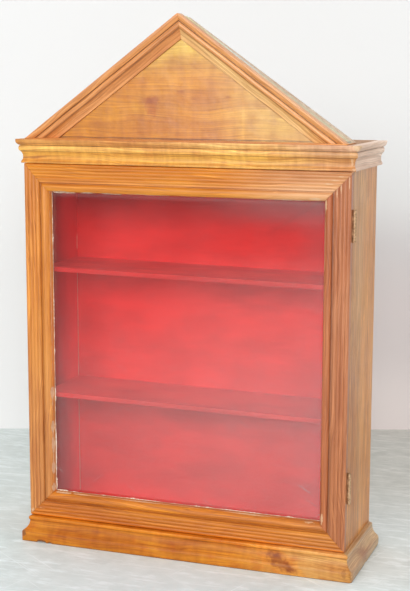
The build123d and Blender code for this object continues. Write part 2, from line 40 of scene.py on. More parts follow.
# ------------------------------------------------------------------ camera
AZ, EL, ROLL = 0.347304, 0.162685, 0.002641
cam_data = bpy.data.cameras.new("camera")
cam_data.sensor_width = 36.0
cam_data.lens = 1335.0 / 591.0 * 36.0
cam_data.clip_start, cam_data.clip_end = 0.05, 50.0
cam = bpy.data.objects.new("camera", cam_data)
scene.collection.objects.link(cam)
fwd = Vector((-math.sin(AZ) * math.cos(EL), math.cos(AZ) * math.cos(EL), -math.sin(EL)))
right = Vector((math.cos(AZ), math.sin(AZ), 0.0))
up = right.cross(fwd)
r2 = right * math.cos(ROLL) + up * math.sin(ROLL)
u2 = up * math.cos(ROLL) - right * math.sin(ROLL)
cam.matrix_world = Matrix(((r2.x, u2.x, -fwd.x, 0.5654),
                           (r2.y, u2.y, -fwd.y, -1.5427),
                           (r2.z, u2.z, -fwd.z, 0.5916),
                           (0, 0, 0, 1)))
scene.camera = cam
scene.view_settings.view_transform = "Standard"


# ------------------------------------------------------------------ node helpers
class Tree:
    def __init__(self, name):
        self.mat = bpy.data.materials.new(name)
        self.mat.use_nodes = True
        self.nt = self.mat.node_tree
        self.nt.nodes.clear()
        self._mm = None

    def add(self, kind, ins=None, **attrs):
        nd = self.nt.nodes.new(kind)
        for k, v in attrs.items():
            setattr(nd, k, v)
        for k, v in (ins or {}).items():
            self.put(nd.inputs[k], v)
        return nd

    def put(self, socket, v):
        if isinstance(v, bpy.types.NodeSocket):
            self.nt.links.new(v, socket)
        elif v is not None:
            if socket.type == "RGBA" and len(v) == 3:
                v = (*v, 1.0)
            socket.default_value = v

    def vec(self, op, a, b=None, s=None):
        ins = {0: a}
        if b is not None:
            ins[1] = b
        if s is not None:
            ins[3] = s
        nd = self.add("ShaderNodeVectorMath", ins, operation=op)
        return nd.outputs["Value" if op in ("DOT_PRODUCT", "LENGTH", "DISTANCE") else "Vector"]

    def mm(self):
        # object coordinates in mm, in the case's own frame
        if self._mm is None:
            c = self.add("ShaderNodeTexCoord").outputs["Object"]
            self._mm = self.vec("ADD", self.vec("SCALE", c, s=1000.0), (0.0, SH, 0.0))
        return self._mm

    def xyz(self, vec):
        return self.add("ShaderNodeSeparateXYZ", {0: vec}).outputs

    def join(self, x, y, z):
        return self.add("ShaderNodeCombineXYZ", {0: x, 1: y, 2: z}).outputs[0]

    def math(self, op, a, b=None, c=None, clamp=False):
        ins = {0: a}
        if b is not None:
            ins[1] = b
        if c is not None:
            ins[2] = c
        return self.add("ShaderNodeMath", ins, operation=op, use_clamp=clamp).outputs[0]

    def noise(self, vec, scale=1.0, detail=3.0, rough=0.5, dist=0.0):
        nd = self.add("ShaderNodeTexNoise", {"Vector": vec, "Scale": scale, "Detail": detail,
                                             "Roughness": rough, "Distortion": dist})
        return nd.outputs["Fac"]

    def ramp(self, fac, stops, interp="LINEAR"):
        nd = self.add("ShaderNodeValToRGB", {"Fac": fac})
        cr = nd.color_ramp
        cr.interpolation = interp
        while len(cr.elements) > 1:
            cr.elements.remove(cr.elements[-1])
        for i, (p, c) in enumerate(stops):
            e = cr.elements[0] if i == 0 else cr.elements.new(p)
            e.position = p
            e.color = (c, c, c, 1) if isinstance(c, (int, float)) else (*c[:3], 1)
        return nd.outputs["Color"]

    def smooth(self, v, lo, hi, a=0.0, b=1.0):
        nd = self.add("ShaderNodeMapRange", {"Value": v, "From Min": lo, "From Max": hi, "To Min": a, "To Max": b},
                      interpolation_type="SMOOTHSTEP", clamp=True)
        return nd.outputs[0]

    def mix(self, fac, a, b, mode="MIX"):
        nd = self.add("ShaderNodeMix", data_type="RGBA", blend_type=mode)
        self.put(nd.inputs["Factor"], fac)
        self.put(nd.inputs[6], a)
        self.put(nd.inputs[7], b)
        return nd.outputs[2]

    def gain(self, color, fac):
        # multiplies a colour by a number that varies over the surface
        return self.mix(1.0, color, self.join(fac, fac, fac), "MULTIPLY")

    def attr(self, name):
        return self.add("ShaderNodeAttribute", attribute_name=name).outputs["Fac"]

    def bump(self, height, strength, dist, normal=None):
        ins = {"Height": height, "Strength": strength, "Distance": dist}
        if normal is not None:
            ins["Normal"] = normal
        return self.add("ShaderNodeBump", ins).outputs[0]

    def out(self, **ins):
        b = self.add("ShaderNodeBsdfPrincipled", {k.replace("_", " "): v for k, v in ins.items()})
        o = self.add("ShaderNodeOutputMaterial", {"Surface": b.outputs[0]})
        return b, o


def srgb(r, g, b):
    f = lambda c: c / 12.92 if c <= 0.04045 else ((c + 0.055) / 1.055) ** 2.4
    return tuple(f(v / 255.0) for v in (r, g, b))


def scaled(c, k):
    k = k if isinstance(k, (tuple, list)) else (k, k, k)
    return tuple(min(1.0, a * b) for a, b in zip(c, k))


def give(obj, *mats):
    obj.data.materials.clear()
    for m in mats:
        obj.data.materials.append(m)


# ------------------------------------------------------------------ wood
X, Y, Z = (1.0, 0.0, 0.0), (0.0, 1.0, 0.0), (0.0, 0.0, 1.0)
BARE_AND_GLINT = srgb(226, 186, 146)
DIRT_AND_SHADE = srgb(70, 34, 16)


def wood(name, along, seed, body, contrast=1.0, broad=1.0, ripple=0.0, rings=1.0, knots=(), lines=None,
         tint=None, paint=None, rough=0.38, coat=0.15, coat_rough=0.25, grime=0.55, pale=1.0, bare_and_glint=BARE_AND_GLINT, spots=(),
         crisp=1.0, ripple_u=6.5, ior=1.46):
    """Varnished fruitwood in mm. along is the grain direction; knots are (u, v, size, strength);
    lines are (distance expression, [(position, width, strength)]); tint is a function of the tree
    that returns pairs of mask and multiplier, paint one that returns (mask, colour, height);
    spots are (centre, radii, strength) where pale wood is painted: bare wood where the finish has gone, and at some
    corners a painted highlight."""
    t = Tree(name)
    p = t.mm()
    a = Vector(along).normalized()
    b = Vector((0, 0, 1)) if abs(a.z) < 0.9 else Vector((1, 0, 0))
    b = (b - a * b.dot(a)).normalized()
    c = a.cross(b)
    u = t.vec("DOT_PRODUCT", p, tuple(a))
    v = t.vec("DOT_PRODUCT", p, tuple(b))
    w = t.vec("DOT_PRODUCT", p, tuple(c))
    s1, s2, s3 = seed * 131.7 % 977.0, seed * 57.3 % 613.0, seed * 91.1 % 449.0
    u0 = t.math("ADD", u, s1)
    # slow wander of the grain, and the grain bending round each knot
    wander = t.noise(t.join(t.math("DIVIDE", u0, 150.0), t.math("DIVIDE", t.math("ADD", v, s2), 55.0),
                            t.math("DIVIDE", t.math("ADD", w, s3), 55.0)), 1.0, 2.0, 0.5)
    vv = t.math("MULTIPLY_ADD", t.math("SUBTRACT", wander, 0.5), 26.0, v)
    knot_mask = None
    for ku, kv, size, strength in knots:
        du = t.math("DIVIDE", t.math("SUBTRACT", u, ku), size * 1.7)
        dv = t.math("DIVIDE", t.math("SUBTRACT", v, kv), size)
        d2 = t.math("ADD", t.math("MULTIPLY", du, du), t.math("MULTIPLY", dv, dv))
        near = t.math("DIVIDE", 1.0, t.math("ADD", 1.0, t.math("MULTIPLY", d2, d2)))
        vv = t.math("MULTIPLY_ADD", t.math("MULTIPLY", near, dv), size * 1.1, vv)
        m = t.math("MULTIPLY", near, strength)
        knot_mask = m if knot_mask is None else t.math("MAXIMUM", knot_mask, m)
    v0 = t.math("ADD", vv, s2)
    w0 = t.math("ADD", w, s3)
    # growth rings, cut through a log whose heart lies behind the board
    hv, hw = t.math("SUBTRACT", vv, (seed * 37 % 60) - 30.0), t.math("SUBTRACT", w, 85.0 + seed * 13 % 40)
    rad = t.math("SQRT", t.math("ADD", t.math("MULTIPLY", hv, hv), t.math("MULTIPLY", hw, hw)))
    ring = t.noise(t.join(t.math("DIVIDE", u0, 420.0), t.math("DIVIDE", rad, 2.4), s3 / 50.0), 1.0, 3.0, 0.6)
    ring = t.smooth(ring, 0.36, 0.68)
    cloud = t.noise(t.join(t.math("DIVIDE", u0, 130.0), t.math("DIVIDE", v0, 26.0), t.math("DIVIDE", w0, 26.0)),
                    1.0, 3.0, 0.55)
    cloud = t.smooth(cloud, 0.32, 0.68)
    streak = t.noise(t.join(t.math("DIVIDE", u0, 140.0), t.math("DIVIDE", v0, 1.5), t.math("DIVIDE", w0, 1.5)),
                     1.0, 3.0, 0.65)
    band = t.noise(t.join(t.math("DIVIDE", u0, 120.0), t.math("DIVIDE", v0, 3.4), t.math("DIVIDE", w0, 3.4)),
                   1.0, 2.0, 0.6)
    fine = t.noise(t.join(t.math("DIVIDE", u0, 85.0), t.math("DIVIDE", v0, 1.3), t.math("DIVIDE", w0, 1.3)),
                   1.0, 1.0, 0.5)
    pores = t.noise(t.join(t.math("DIVIDE", u0, 6.0), t.math("DIVIDE", v0, 0.33), t.math("DIVIDE", w0, 0.33)),
                    1.0, 1.0, 0.5)
    pores = t.smooth(pores, 0.60, 0.74)
    deep = scaled(body, (0.72, 0.56, 0.46))
    lit = scaled(body, (1.10, 1.24, 1.40))
    col = t.mix(t.math("MULTIPLY", t.math("SUBTRACT", 1.0, cloud), 0.55 * broad), body, deep)
    col = t.mix(t.math("MULTIPLY", cloud, 0.60 * broad), col, lit)
    col = t.mix(t.math("MULTIPLY", ring, 0.34 * rings), col, deep)
    f = t.math("MULTIPLY_ADD", t.math("SUBTRACT", streak, 0.5), 0.95 * contrast, 1.0)
    f = t.math("MULTIPLY", f, t.math("MULTIPLY_ADD", t.math("SUBTRACT", band, 0.5), 0.85 * contrast, 1.0))
    if ripple:
        rip = t.noise(t.join(t.math("DIVIDE", u0, ripple_u), t.math("DIVIDE", v0, 30.0), t.math("DIVIDE", w0, 30.0)),
                      1.0, 2.0, 0.5)
        f = t.math("MULTIPLY", f, t.math("MULTIPLY_ADD", t.math("SUBTRACT", rip, 0.5), ripple, 1.0))
    f = t.math("MULTIPLY", f, t.math("MULTIPLY_ADD", pores, -0.20 * contrast, 1.0))
    f = t.math("MULTIPLY", f, t.smooth(fine, 0.56, 0.68, 1.0, 1.0 - 0.20 * crisp))
    f = t.math("MULTIPLY", f, t.smooth(fine, 0.44, 0.32, 1.0, 1.0 + 0.18 * crisp))
    # the darker streaks are also the redder ones
    col = t.mix(1.0, col, t.join(f, t.math("POWER", f, 1.35), t.math("POWER", f, 1.7)), "MULTIPLY")
    if knot_mask is not None:
        col = t.mix(t.math("MULTIPLY", knot_mask, 0.85, clamp=True), col, scaled(body, (0.55, 0.32, 0.22)))
    if tint is not None:
        for m, cc in tint(t):
            col = t.mix(m, col, t.mix(1.0, col, cc, "MULTIPLY"))
    smudge = t.noise(p, 0.035, 4.0, 0.6)
    # dark lines along the grooves, joints and edges: dirt, and painted shade in the grooves and where parts meet
    if lines is not None:
        dist, marks = lines
        d = t.vec("DOT_PRODUCT", p, tuple(dist[0]))
        d = t.math("ADD", d, dist[1])
        span = max(m[0] for m in marks) + 6.0
        stops = [(0.0, 0.0)]
        for pos, wid, k in marks:
            stops += [((pos - wid) / span, 0.0), (pos / span, k), ((pos + wid) / span, 0.0)]
        g = t.ramp(t.math("DIVIDE", d, span), stops)
        g = t.math("MULTIPLY", g, t.smooth(smudge, 0.25, 0.60, 0.55, 1.0))
        col = t.mix(g, col, scaled(DIRT_AND_SHADE, 0.8))
    gr = t.math("MULTIPLY", t.attr("grime"), t.smooth(smudge, 0.25, 0.70, 0.5, 1.0))
    col = t.mix(t.math("MULTIPLY", gr, 0.75 * grime, clamp=True), col, DIRT_AND_SHADE)
    wear = t.attr("wear")
    fleck = t.noise(t.join(t.math("DIVIDE", u0, 5.0), t.math("DIVIDE", v0, 0.8), t.math("DIVIDE", w0, 0.8)), 1.0, 2.0, 0.6)
    wear_and_glints = t.math("MULTIPLY", t.smooth(t.math("ADD", wear, t.math("MULTIPLY", fleck, 0.45)), 0.55, 0.95), pale)
    # some spots are painted highlights at corners, the rest bare wood where the finish has gone
    if spots:
        frayed = t.noise(p, 0.28, 3.0, 0.65)
        for c0, r0, k0 in spots:
            q = t.vec("SUBTRACT", p, tuple(c0))
            q = t.vec("MULTIPLY", q, tuple(1.0 / r for r in r0))
            q = t.add("ShaderNodeVectorMath", {0: q}, operation="LENGTH").outputs["Value"]
            q = t.math("MULTIPLY_ADD", t.math("SUBTRACT", frayed, 0.5), 1.7, q)
            wear_and_glints = t.math("MAXIMUM", wear_and_glints, t.smooth(q, 1.05, 0.80, 0.0, k0))
    col = t.mix(wear_and_glints, col, t.gain(bare_and_glint, t.math("MULTIPLY_ADD", fleck, 0.5, 0.72)))
    rr = t.math("MULTIPLY_ADD", smudge, 0.20, rough - 0.10)
    rr = t.math("MULTIPLY_ADD", wear_and_glints, 0.25, rr)
    height = t.math("MULTIPLY_ADD", pores, -0.5, t.math("MULTIPLY", streak, 0.6))
    if paint is not None:
        m, cc, hh = paint(t)
        col = t.mix(m, col, cc)
        rr = t.math("ADD", rr, t.math("MULTIPLY", m, 0.12))
        height = t.math("ADD", t.math("MULTIPLY", height, t.math("SUBTRACT", 1.0, t.math("MULTIPLY", m, 0.7))),
                        t.math("MULTIPLY", hh, m))
    dent = t.noise(p, 0.06, 2.0, 0.5)
    n1 = t.bump(dent, 0.30, 0.0012)
    n2 = t.bump(height, 0.22, 0.00025, n1)
    bs, _ = t.out(Base_Color=col, Roughness=rr, Normal=n2)
    bs.inputs["IOR"].default_value = ior
    bs.inputs["Coat Weight"].default_value = coat
    bs.inputs["Coat Roughness"].default_value = coat_rough
    t.put(bs.inputs["Coat Normal"], n1)
    return t.mat


# ------------------------------------------------------------------ red paint
RED = srgb(244, 32, 30)


def paint_layer(t, along=X, seed=1.0, base=RED, shade_dim=1.0):
    """Hand-brushed red paint: returns (colour, height)."""
    p = t.mm()
    a = Vector(along)
    b = Vector((0, 0, 1)) if abs(a.z) < 0.9 else Vector((1, 0, 0))
    c = a.cross(b)
    u, v, w = (t.vec("DOT_PRODUCT", p, tuple(q)) for q in (a, b, c))
    u = t.math("ADD", u, seed * 71.3)
    brush = t.noise(t.join(t.math("DIVIDE", u, 38.0), t.math("DIVIDE", v, 1.1), t.math("DIVIDE", w, 1.1)), 1.0, 3.0, 0.6)
    blot = t.noise(t.join(t.math("DIVIDE", u, 90.0), t.math("DIVIDE", v, 45.0), t.math("DIVIDE", w, 45.0)), 1.0, 4.0, 0.6)
    col = t.mix(t.smooth(blot, 0.3, 0.7), scaled(base, (0.86, 0.72, 0.74)), scaled(base, (1.08, 1.25, 1.2)))
    col = t.gain(col, t.math("MULTIPLY_ADD", t.math("SUBTRACT", brush, 0.5), 0.30, 1.0))
    # shade_dim paints the paint darker and purpler: painted shade on faces the light hardly reaches
    if shade_dim != 1.0:
        col = t.mix(1.0, col, (shade_dim, shade_dim * 1.35, shade_dim * 1.65), "MULTIPLY")
    scuff = t.noise(t.join(t.math("DIVIDE", u, 14.0), t.math("DIVIDE", v, 2.6), t.math("DIVIDE", w, 2.6)), 1.0, 4.0, 0.7)
    col = t.mix(t.smooth(scuff, 0.66, 0.80, 0.0, 0.28), col, srgb(232, 120, 108))
    return col, t.math("ADD", t.math("MULTIPLY", brush, 0.9), t.math("MULTIPLY", blot, 0.6))


def painted(name, along, seed, mask=None, wood_along=X, body=srgb(170, 120, 78), base=RED, top=None, right=None):
    """Bare wood with red paint where the mask (a function of the tree) is 1."""
    def layer(t):
        col, h = paint_layer(t, along, seed, base)
        if top is not None:
            # the shelf is painted paler and pinker behind its front edge, a painted highlight and sheen on its top; its
            # front edge is painted darker
            edge = t.math("LESS_THAN", t.xyz(t.mm())[1], 19.9)
            col = t.mix(edge, t.mix(1.0, col, top, "MULTIPLY"), t.mix(1.0, col, (0.80, 0.90, 0.90), "MULTIPLY"))
        # painted light: the back panel is painted lighter towards the right, against the shadow of the right stile
        if right is not None:
            col = t.gain(col, t.smooth(t.xyz(t.mm())[0], 105, 185, 1.0, right))
        m = mask(t) if mask is not None else 1.0
        wear = t.attr("wear")
        fleck = t.noise(t.mm(), 0.45, 3.0, 0.6)
        chip = t.smooth(t.math("ADD", wear, t.math("MULTIPLY", fleck, 0.5)), 0.80, 0.92)
        m2 = t.math("MULTIPLY", m, t.math("SUBTRACT", 1.0, t.math("MULTIPLY", chip, 0.75)))
        return m2, col, h
    return wood(name, wood_along, seed, body, contrast=0.9, broad=0.5, paint=layer, rough=0.56, coat=0.0,
                coat_rough=0.3, grime=0.8, ior=1.36)


# ------------------------------------------------------------------ worked copies of the CAD members
def field(p, scale, seed=0.0):
    return noise.noise(Vector((p[0] / scale + seed * 7.31, p[1] / scale + seed * 3.17, p[2] / scale - seed * 5.73)))


def step01(v, lo, hi):
    v = min(1.0, max(0.0, (v - lo) / (hi - lo)))
    return v * v * (3 - 2 * v)


def worked(node, body, along, mat, step=3.0, arris=0.22, wear=0.30, grime_gain=1.0, chips=(), seed=1.0,
           heavy=None, wander=0.08):
    """A finely divided copy of a CAD member, its arrises eased and worn and its chips cut, always
    inside the member's own solid. Writes the wear and grime attributes that the wood reads."""
    bm = bmesh.new()
    bm.from_mesh(N[node].data)
    off = Vector((0.0, SH, 0.0))
    for v in bm.verts:
        v.co = v.co * 1000.0 + off
    bmesh.ops.remove_doubles(bm, verts=bm.verts[:], dist=0.004)
    bmesh.ops.join_triangles(bm, faces=bm.faces[:], angle_face_threshold=math.radians(0.6),
                             angle_shape_threshold=math.radians(179.0), cmp_seam=False, cmp_sharp=False,
                             cmp_uvs=False, cmp_vcols=False, cmp_materials=False)
    bm.normal_update()
    skin = BVHTree.FromBMesh(bm)
    if heavy is not None:
        es = [e for e in bm.edges if len(e.link_faces) == 2 and e.is_convex and e.calc_face_angle() > math.radians(40)
              and heavy[0](e.verts[0].co) and heavy[0](e.verts[1].co)]
        if es:
            bmesh.ops.bevel(bm, geom=es, offset=heavy[1], offset_type="OFFSET", segments=3, profile=0.5,
                            affect="EDGES", clamp_overlap=False, loop_slide=True)
    es = [e for e in bm.edges if len(e.link_faces) == 2 and e.is_convex and e.calc_face_angle() > math.radians(32)]
    if es:
        bmesh.ops.bevel(bm, geom=es, offset=arris, offset_type="OFFSET", segments=2, profile=0.5,
                        affect="EDGES", clamp_overlap=False, loop_slide=True)
    a = Vector(along).normalized()
    us = [v.co.dot(a) for v in bm.verts]
    lo, hi = min(us), max(us)
    n = max(2, int((hi - lo) / step))
    for i in range(1, n):
        s = lo + (hi - lo) * i / n
        geom = bm.verts[:] + bm.edges[:] + bm.faces[:]
        bmesh.ops.bisect_plane(bm, geom=geom, dist=0.0005, plane_co=a * s, plane_no=a)
    for c, r, depth, push in chips:
        c, r = Vector(c), Vector(r)
        for _ in range(2):
            def inside(q):
                d = q - c
                return (d.x / (r.x * 1.5)) ** 2 + (d.y / (r.y * 1.5)) ** 2 + (d.z / (r.z * 1.5)) ** 2 < 1.0
            es = [e for e in bm.edges if e.calc_length() > 0.9 and
                  (inside(e.verts[0].co) or inside(e.verts[1].co) or inside((e.verts[0].co + e.verts[1].co) / 2))]
            if es:
                bmesh.ops.subdivide_edges(bm, edges=es, cuts=1, use_grid_fill=True)
        bmesh.ops.triangulate(bm, faces=[f for f in bm.faces if len(f.verts) > 4])
    bm.normal_update()
    bm.verts.ensure_lookup_table()
    curve = []
    for v in bm.verts:
        tot, wsum = Vector((0, 0, 0)), 0.0
        for e in v.link_edges:
            d = e.other_vert(v).co - v.co
            L = d.length
            if L > 1e-6 and L < 40.0:
                k = abs(d.dot(a)) / L
                q = (1.0 - k * k) / max(L, 0.15)
                tot += d / L * q
                wsum += q
        curve.append(-(tot / wsum).dot(v.normal) if wsum > 1e-9 else 0.0)
    moves, wears, grimes = [], [], []
    for v, k in zip(bm.verts, curve):
        p = v.co
        convex, hollow = step01(k, 0.10, 0.45), step01(-k, 0.06, 0.40)
        n1 = 0.5 + 0.5 * field(p, 17.0, seed)
        n2 = 0.5 + 0.5 * field(p, 4.5, seed + 3)
        amount = wear * convex * (0.15 + 0.55 * n1 * n1 + 0.45 * n2 * n2)
        m = -v.normal * (amount + wander * (0.5 + 0.5 * field(p, 42.0, seed + 9)))
        wr = convex * (0.30 * n1 + 0.35 * n2)
        for c, r, depth, push in chips:
            d = p - Vector(c)
            rr = 0.75 + 0.45 * (0.5 + 0.5 * field(p, 2.6, seed + 5)) 
            q = ((d.x / r[0]) ** 2 + (d.y / r[1]) ** 2 + (d.z / r[2]) ** 2) ** 0.5 / rr
            if q < 1.0:
                h = (1.0 - q * q) ** 0.5
                m = m + Vector(push).normalized() * depth * h * (0.75 + 0.25 * field(p, 1.6, seed + 11))
                wr = max(wr, 0.55 + 0.45 * h)
        moves.append(m)
        wears.append(min(1.0, wr))
        grimes.append(min(1.0, hollow * grime_gain))
    for v, m in zip(bm.verts, moves):
        q = v.co + m
        near, nrm, _, gap = skin.find_nearest(q)
        if gap > 1e-4 and (q - near).dot(nrm) > 0.0:      # never outside the member's own solid
            q = near
        v.co = (q - off) / 1000.0
    for e in bm.edges:
        if len(e.link_faces) == 2:
            e.smooth = e.calc_face_angle() < math.radians(38)
    for f in bm.faces:
        f.smooth = True
    me = bpy.data.meshes.new(node + "_worked")
    bm.to_mesh(me)
    bm.free()
    for name, values in (("wear", wears), ("grime", grimes)):
        at = me.attributes.new(name, "FLOAT", "POINT")
        at.data.foreach_set("value", values)
    ob = bpy.data.objects.new(node + "_worked", me)
    scene.collection.objects.link(ob)
    md = ob.modifiers.new("normals", "WEIGHTED_NORMAL")
    md.keep_sharp = True
    give(ob, mat)
    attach(ob, body)
    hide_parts(node)
    return ob


def eased(node, mat, width=0.25, angle=32):
    """Keeps the CAD node, with its arrises eased by modifiers."""
    ob = N[node]
    md = ob.modifiers.new("weld", "WELD")
    md.merge_threshold = 0.000004
    if width:
        md = ob.modifiers.new("arris", "BEVEL")
        md.width = width / 1000.0
        md.segments = 2
        md.limit_method = "ANGLE"
        md.angle_limit = math.radians(angle)
        md.use_clamp_overlap = True
    md = ob.modifiers.new("normals", "WEIGHTED_NORMAL")
    md.keep_sharp = True
    give(ob, mat)


# ------------------------------------------------------------------ the woods
WHITE_LINE = srgb(226, 200, 168)
SR, SL = math.atan2(148.2, 204.5), math.atan2(148.2, 200.7)


def edge_lines(vec, offset, marks):
    return ((vec, offset), marks)


def valleys(vs, groove, k=0.15, w=0.6):
    return [(v, w, k) for v in vs] + [(groove, 0.8, 0.30)]


STILE_V, RAIL_V, TOP_V = (4.9, 9.7, 14.5, 19.2), (4.2, 8.7, 13.2, 17.7), (3.9, 8.0, 12.4, 16.7, 20.9)
C_STILE_L = srgb(222, 140, 56)
# the right stile is the same wood as the left, coloured darker and pinker; the pink is painted sheen
C_STILE_R = srgb(175, 102, 56)
C_TOPRAIL = srgb(222, 138, 36)
C_BOTRAIL = srgb(203, 115, 20)
C_CORNICE = srgb(228, 158, 58)
C_PLINTH = srgb(199, 117, 22)
C_TYMP = srgb(210, 132, 26)
C_RAKE = srgb(222, 146, 76)
C_SIDE = srgb(224, 151, 72)


def tymp_tint(t):
    x, y, z = t.xyz(t.mm())
    # flame figure: upright bands across the panel, and a red-brown flame by the large knot
    fig = t.noise(t.join(t.math("DIVIDE", x, 15.0), 0.0, t.math("DIVIDE", z, 85.0)), 1.0, 2.0, 0.5)
    warp = t.noise(t.join(t.math("DIVIDE", x, 9.0), 3.0, t.math("DIVIDE", z, 14.0)), 1.0, 3.0, 0.6)
    fx = t.math("DIVIDE", t.math("ADD", x, 41.0), 10.0)
    fz = t.math("DIVIDE", t.math("ADD", z, -557.0), 14.0)
    fl = t.math("ADD", t.math("MULTIPLY", fx, fx), t.math("MULTIPLY", fz, fz))
    fl = t.math("MULTIPLY_ADD", t.math("SUBTRACT", warp, 0.5), 3.4, fl)
    yx = t.math("DIVIDE", t.math("ADD", x, 56.0), 12.0)
    yl = t.math("ADD", t.math("MULTIPLY", yx, yx), t.math("MULTIPLY", fz, fz))
    line = t.math("ABSOLUTE", t.math("ADD", x, -73.0))
    back = t.math("GREATER_THAN", y, 5.9)
    mottle = t.noise(t.join(t.math("DIVIDE", x, 13.0), 1.0, t.math("DIVIDE", z, 7.5)), 1.0, 4.0, 0.65)
    # the first three multipliers paint the panel paler and pinker towards the right and the apex: painted sheen
    return [(t.smooth(x, -60, 60), (1.04, 1.06, 1.05)),
            (t.smooth(x, 10, 120), (0.99, 1.42, 5.60)),
            (t.smooth(z, 585, 630), (1.18, 1.90, 5.20)),
            (t.smooth(fig, 0.35, 0.65, 0.0, 0.9), (0.86, 0.80, 0.74)),
            (t.smooth(mottle, 0.50, 0.68, 0.0, 0.9), (0.91, 0.84, 0.76)),
            (t.smooth(mottle, 0.47, 0.32, 0.0, 0.9), (1.06, 1.11, 1.10)),
            (t.smooth(yl, 1.6, 0.2, 0.0, 0.9), (1.06, 1.14, 0.90)),
            (t.smooth(fl, 1.3, 0.1, 0.0, 0.9), (0.80, 0.60, 0.50)),
            (t.math("MULTIPLY", t.smooth(line, 2.6, 0.8), t.smooth(z, 572, 560)), (1.10, 1.14, 1.15)),
            (back, (0.95, 1.50, 4.5))]


def cornice_tint(t):
    x, y, z = t.xyz(t.mm())
    blot = t.noise(t.join(t.math("DIVIDE", x, 26.0), t.math("DIVIDE", z, 9.0), 4.0), 1.0, 3.0, 0.6)
    low = t.math("MULTIPLY", t.smooth(z, 494, 489), 0.8)
    # the fascia and bead are painted paler and bluer, more so to the right, and the cove bluer in the middle and right:
    # painted sheen; the right end is painted greyer
    return [(t.smooth(z, 507.2, 508.2), (0.86, 0.79, 1.25)),
            (t.math("MULTIPLY", t.smooth(z, 507.2, 508.2), t.smooth(x, -90, 60)), (1.26, 1.64, 2.35)),
            (t.math("MULTIPLY", t.smooth(z, 500.2, 501.0), t.smooth(z, 507.8, 507.2)), (1.12, 1.28, 1.95)),
            (low, (0.95, 0.86, 0.80)),
            (t.smooth(blot, 0.50, 0.66, 0.0, 0.8), (0.88, 0.76, 0.72)),
            (t.math("MULTIPLY", t.math("MULTIPLY", t.smooth(x, -80, 20), t.smooth(x, 190, 110)), t.smooth(z, 500.5, 499.5)),
             (1.00, 1.12, 1.12)),
            (t.math("MULTIPLY", t.smooth(x, -80, 60), t.smooth(z, 500.5, 499.5)), (1.00, 1.00, 1.18)),
            (t.smooth(x, 90, 190), (0.79, 0.79, 1.50))]


def top_rail_tint(t):
    x, y, z = t.xyz(t.mm())
    # painted light: the top strip is painted lighter to offset the shade under the cornice, and the right end paler and
    # pinker as painted sheen
    return [(t.smooth(z, 483.0, 483.8), (1.40, 1.45, 1.50)), (t.smooth(x, 30, 160), (0.97, 1.32, 7.50))]


def stile_right_tint(t):
    x, y, z = t.xyz(t.mm())
    # the upper part of the right stile is painted paler and pinker: painted sheen
    return [(t.smooth(z, 60, 420), (1.21, 1.40, 1.90)), (t.smooth(x, 184, 182), (0.98, 0.82, 0.68))]


def stile_tint(t):
    x, y, z = t.xyz(t.mm())
    return [(t.smooth(z, 330, 120), (0.84, 0.88, 1.35))]


def plinth_tint(t):
    x, y, z = t.xyz(t.mm())
    # a dark knot with red-brown streaks running down to the right
    warp = t.noise(t.join(t.math("DIVIDE", x, 7.0), 5.0, t.math("DIVIDE", z, 5.0)), 1.0, 3.0, 0.6)
    slant = t.math("MULTIPLY_ADD", t.math("ADD", z, -14.0), 1.3, t.math("ADD", x, -128.0))
    fx = t.math("DIVIDE", slant, 16.0)
    fz = t.math("DIVIDE", t.math("ADD", z, -14.0), 13.0)
    fl = t.math("ADD", t.math("MULTIPLY", fx, fx), t.math("MULTIPLY", fz, fz))
    fl = t.math("MULTIPLY_ADD", t.math("SUBTRACT", warp, 0.5), 3.0, fl)
    flame = t.smooth(fl, 1.2, 0.0, 0.0, 0.9)
    halo = t.smooth(fl, 2.6, 1.4, 0.0, 0.7)
    figure = t.noise(t.join(t.math("DIVIDE", x, 22.0), t.math("DIVIDE", z, 14.0), 2.0), 1.0, 4.0, 0.6)
    return [(t.smooth(figure, 0.50, 0.68, 0.0, 0.8), (0.92, 0.74, 0.60)),
            (t.smooth(figure, 0.46, 0.32, 0.0, 0.8), (1.06, 1.16, 1.10)),
            # the top fillet is painted lighter, a painted highlight against the shade under the door; the last
            # multiplier paints the right end paler and pinker, a painted sheen
            (t.smooth(z, 26.8, 28.0), (1.25, 1.25, 1.3)),
            (flame, (0.52, 0.38, 0.42)), (halo, (1.10, 0.94, 0.55)),
            (t.smooth(x, 60, 190), (1.13, 1.72, 9.5))]


def side_tint(t):
    x, y, z = t.xyz(t.mm())
    n = t.noise(t.join(0.0, t.math("DIVIDE", y, 30.0), t.math("DIVIDE", z, 160.0)), 1.0, 2.0, 0.5)
    q = t.math("MULTIPLY_ADD", n, 50.0, y)
    streak = t.noise(t.join(0.0, t.math("DIVIDE", y, 5.5), t.math("DIVIDE", z, 210.0)), 1.0, 3.0, 0.6)
    # the front part of the side is painted paler and bluer: painted sheen
    return [(t.smooth(q, 104, 80), (0.88, 1.00, 1.40)),
            (t.math("MULTIPLY", t.smooth(y, 84, 50), t.smooth(z, 300, 160)), (0.91, 0.73, 0.51)),
            (t.smooth(streak, 0.50, 0.66, 0.0, 0.7), (0.82, 0.80, 0.86)),
            (t.smooth(streak, 0.44, 0.30, 0.0, 0.7), (1.10, 1.13, 1.10))]


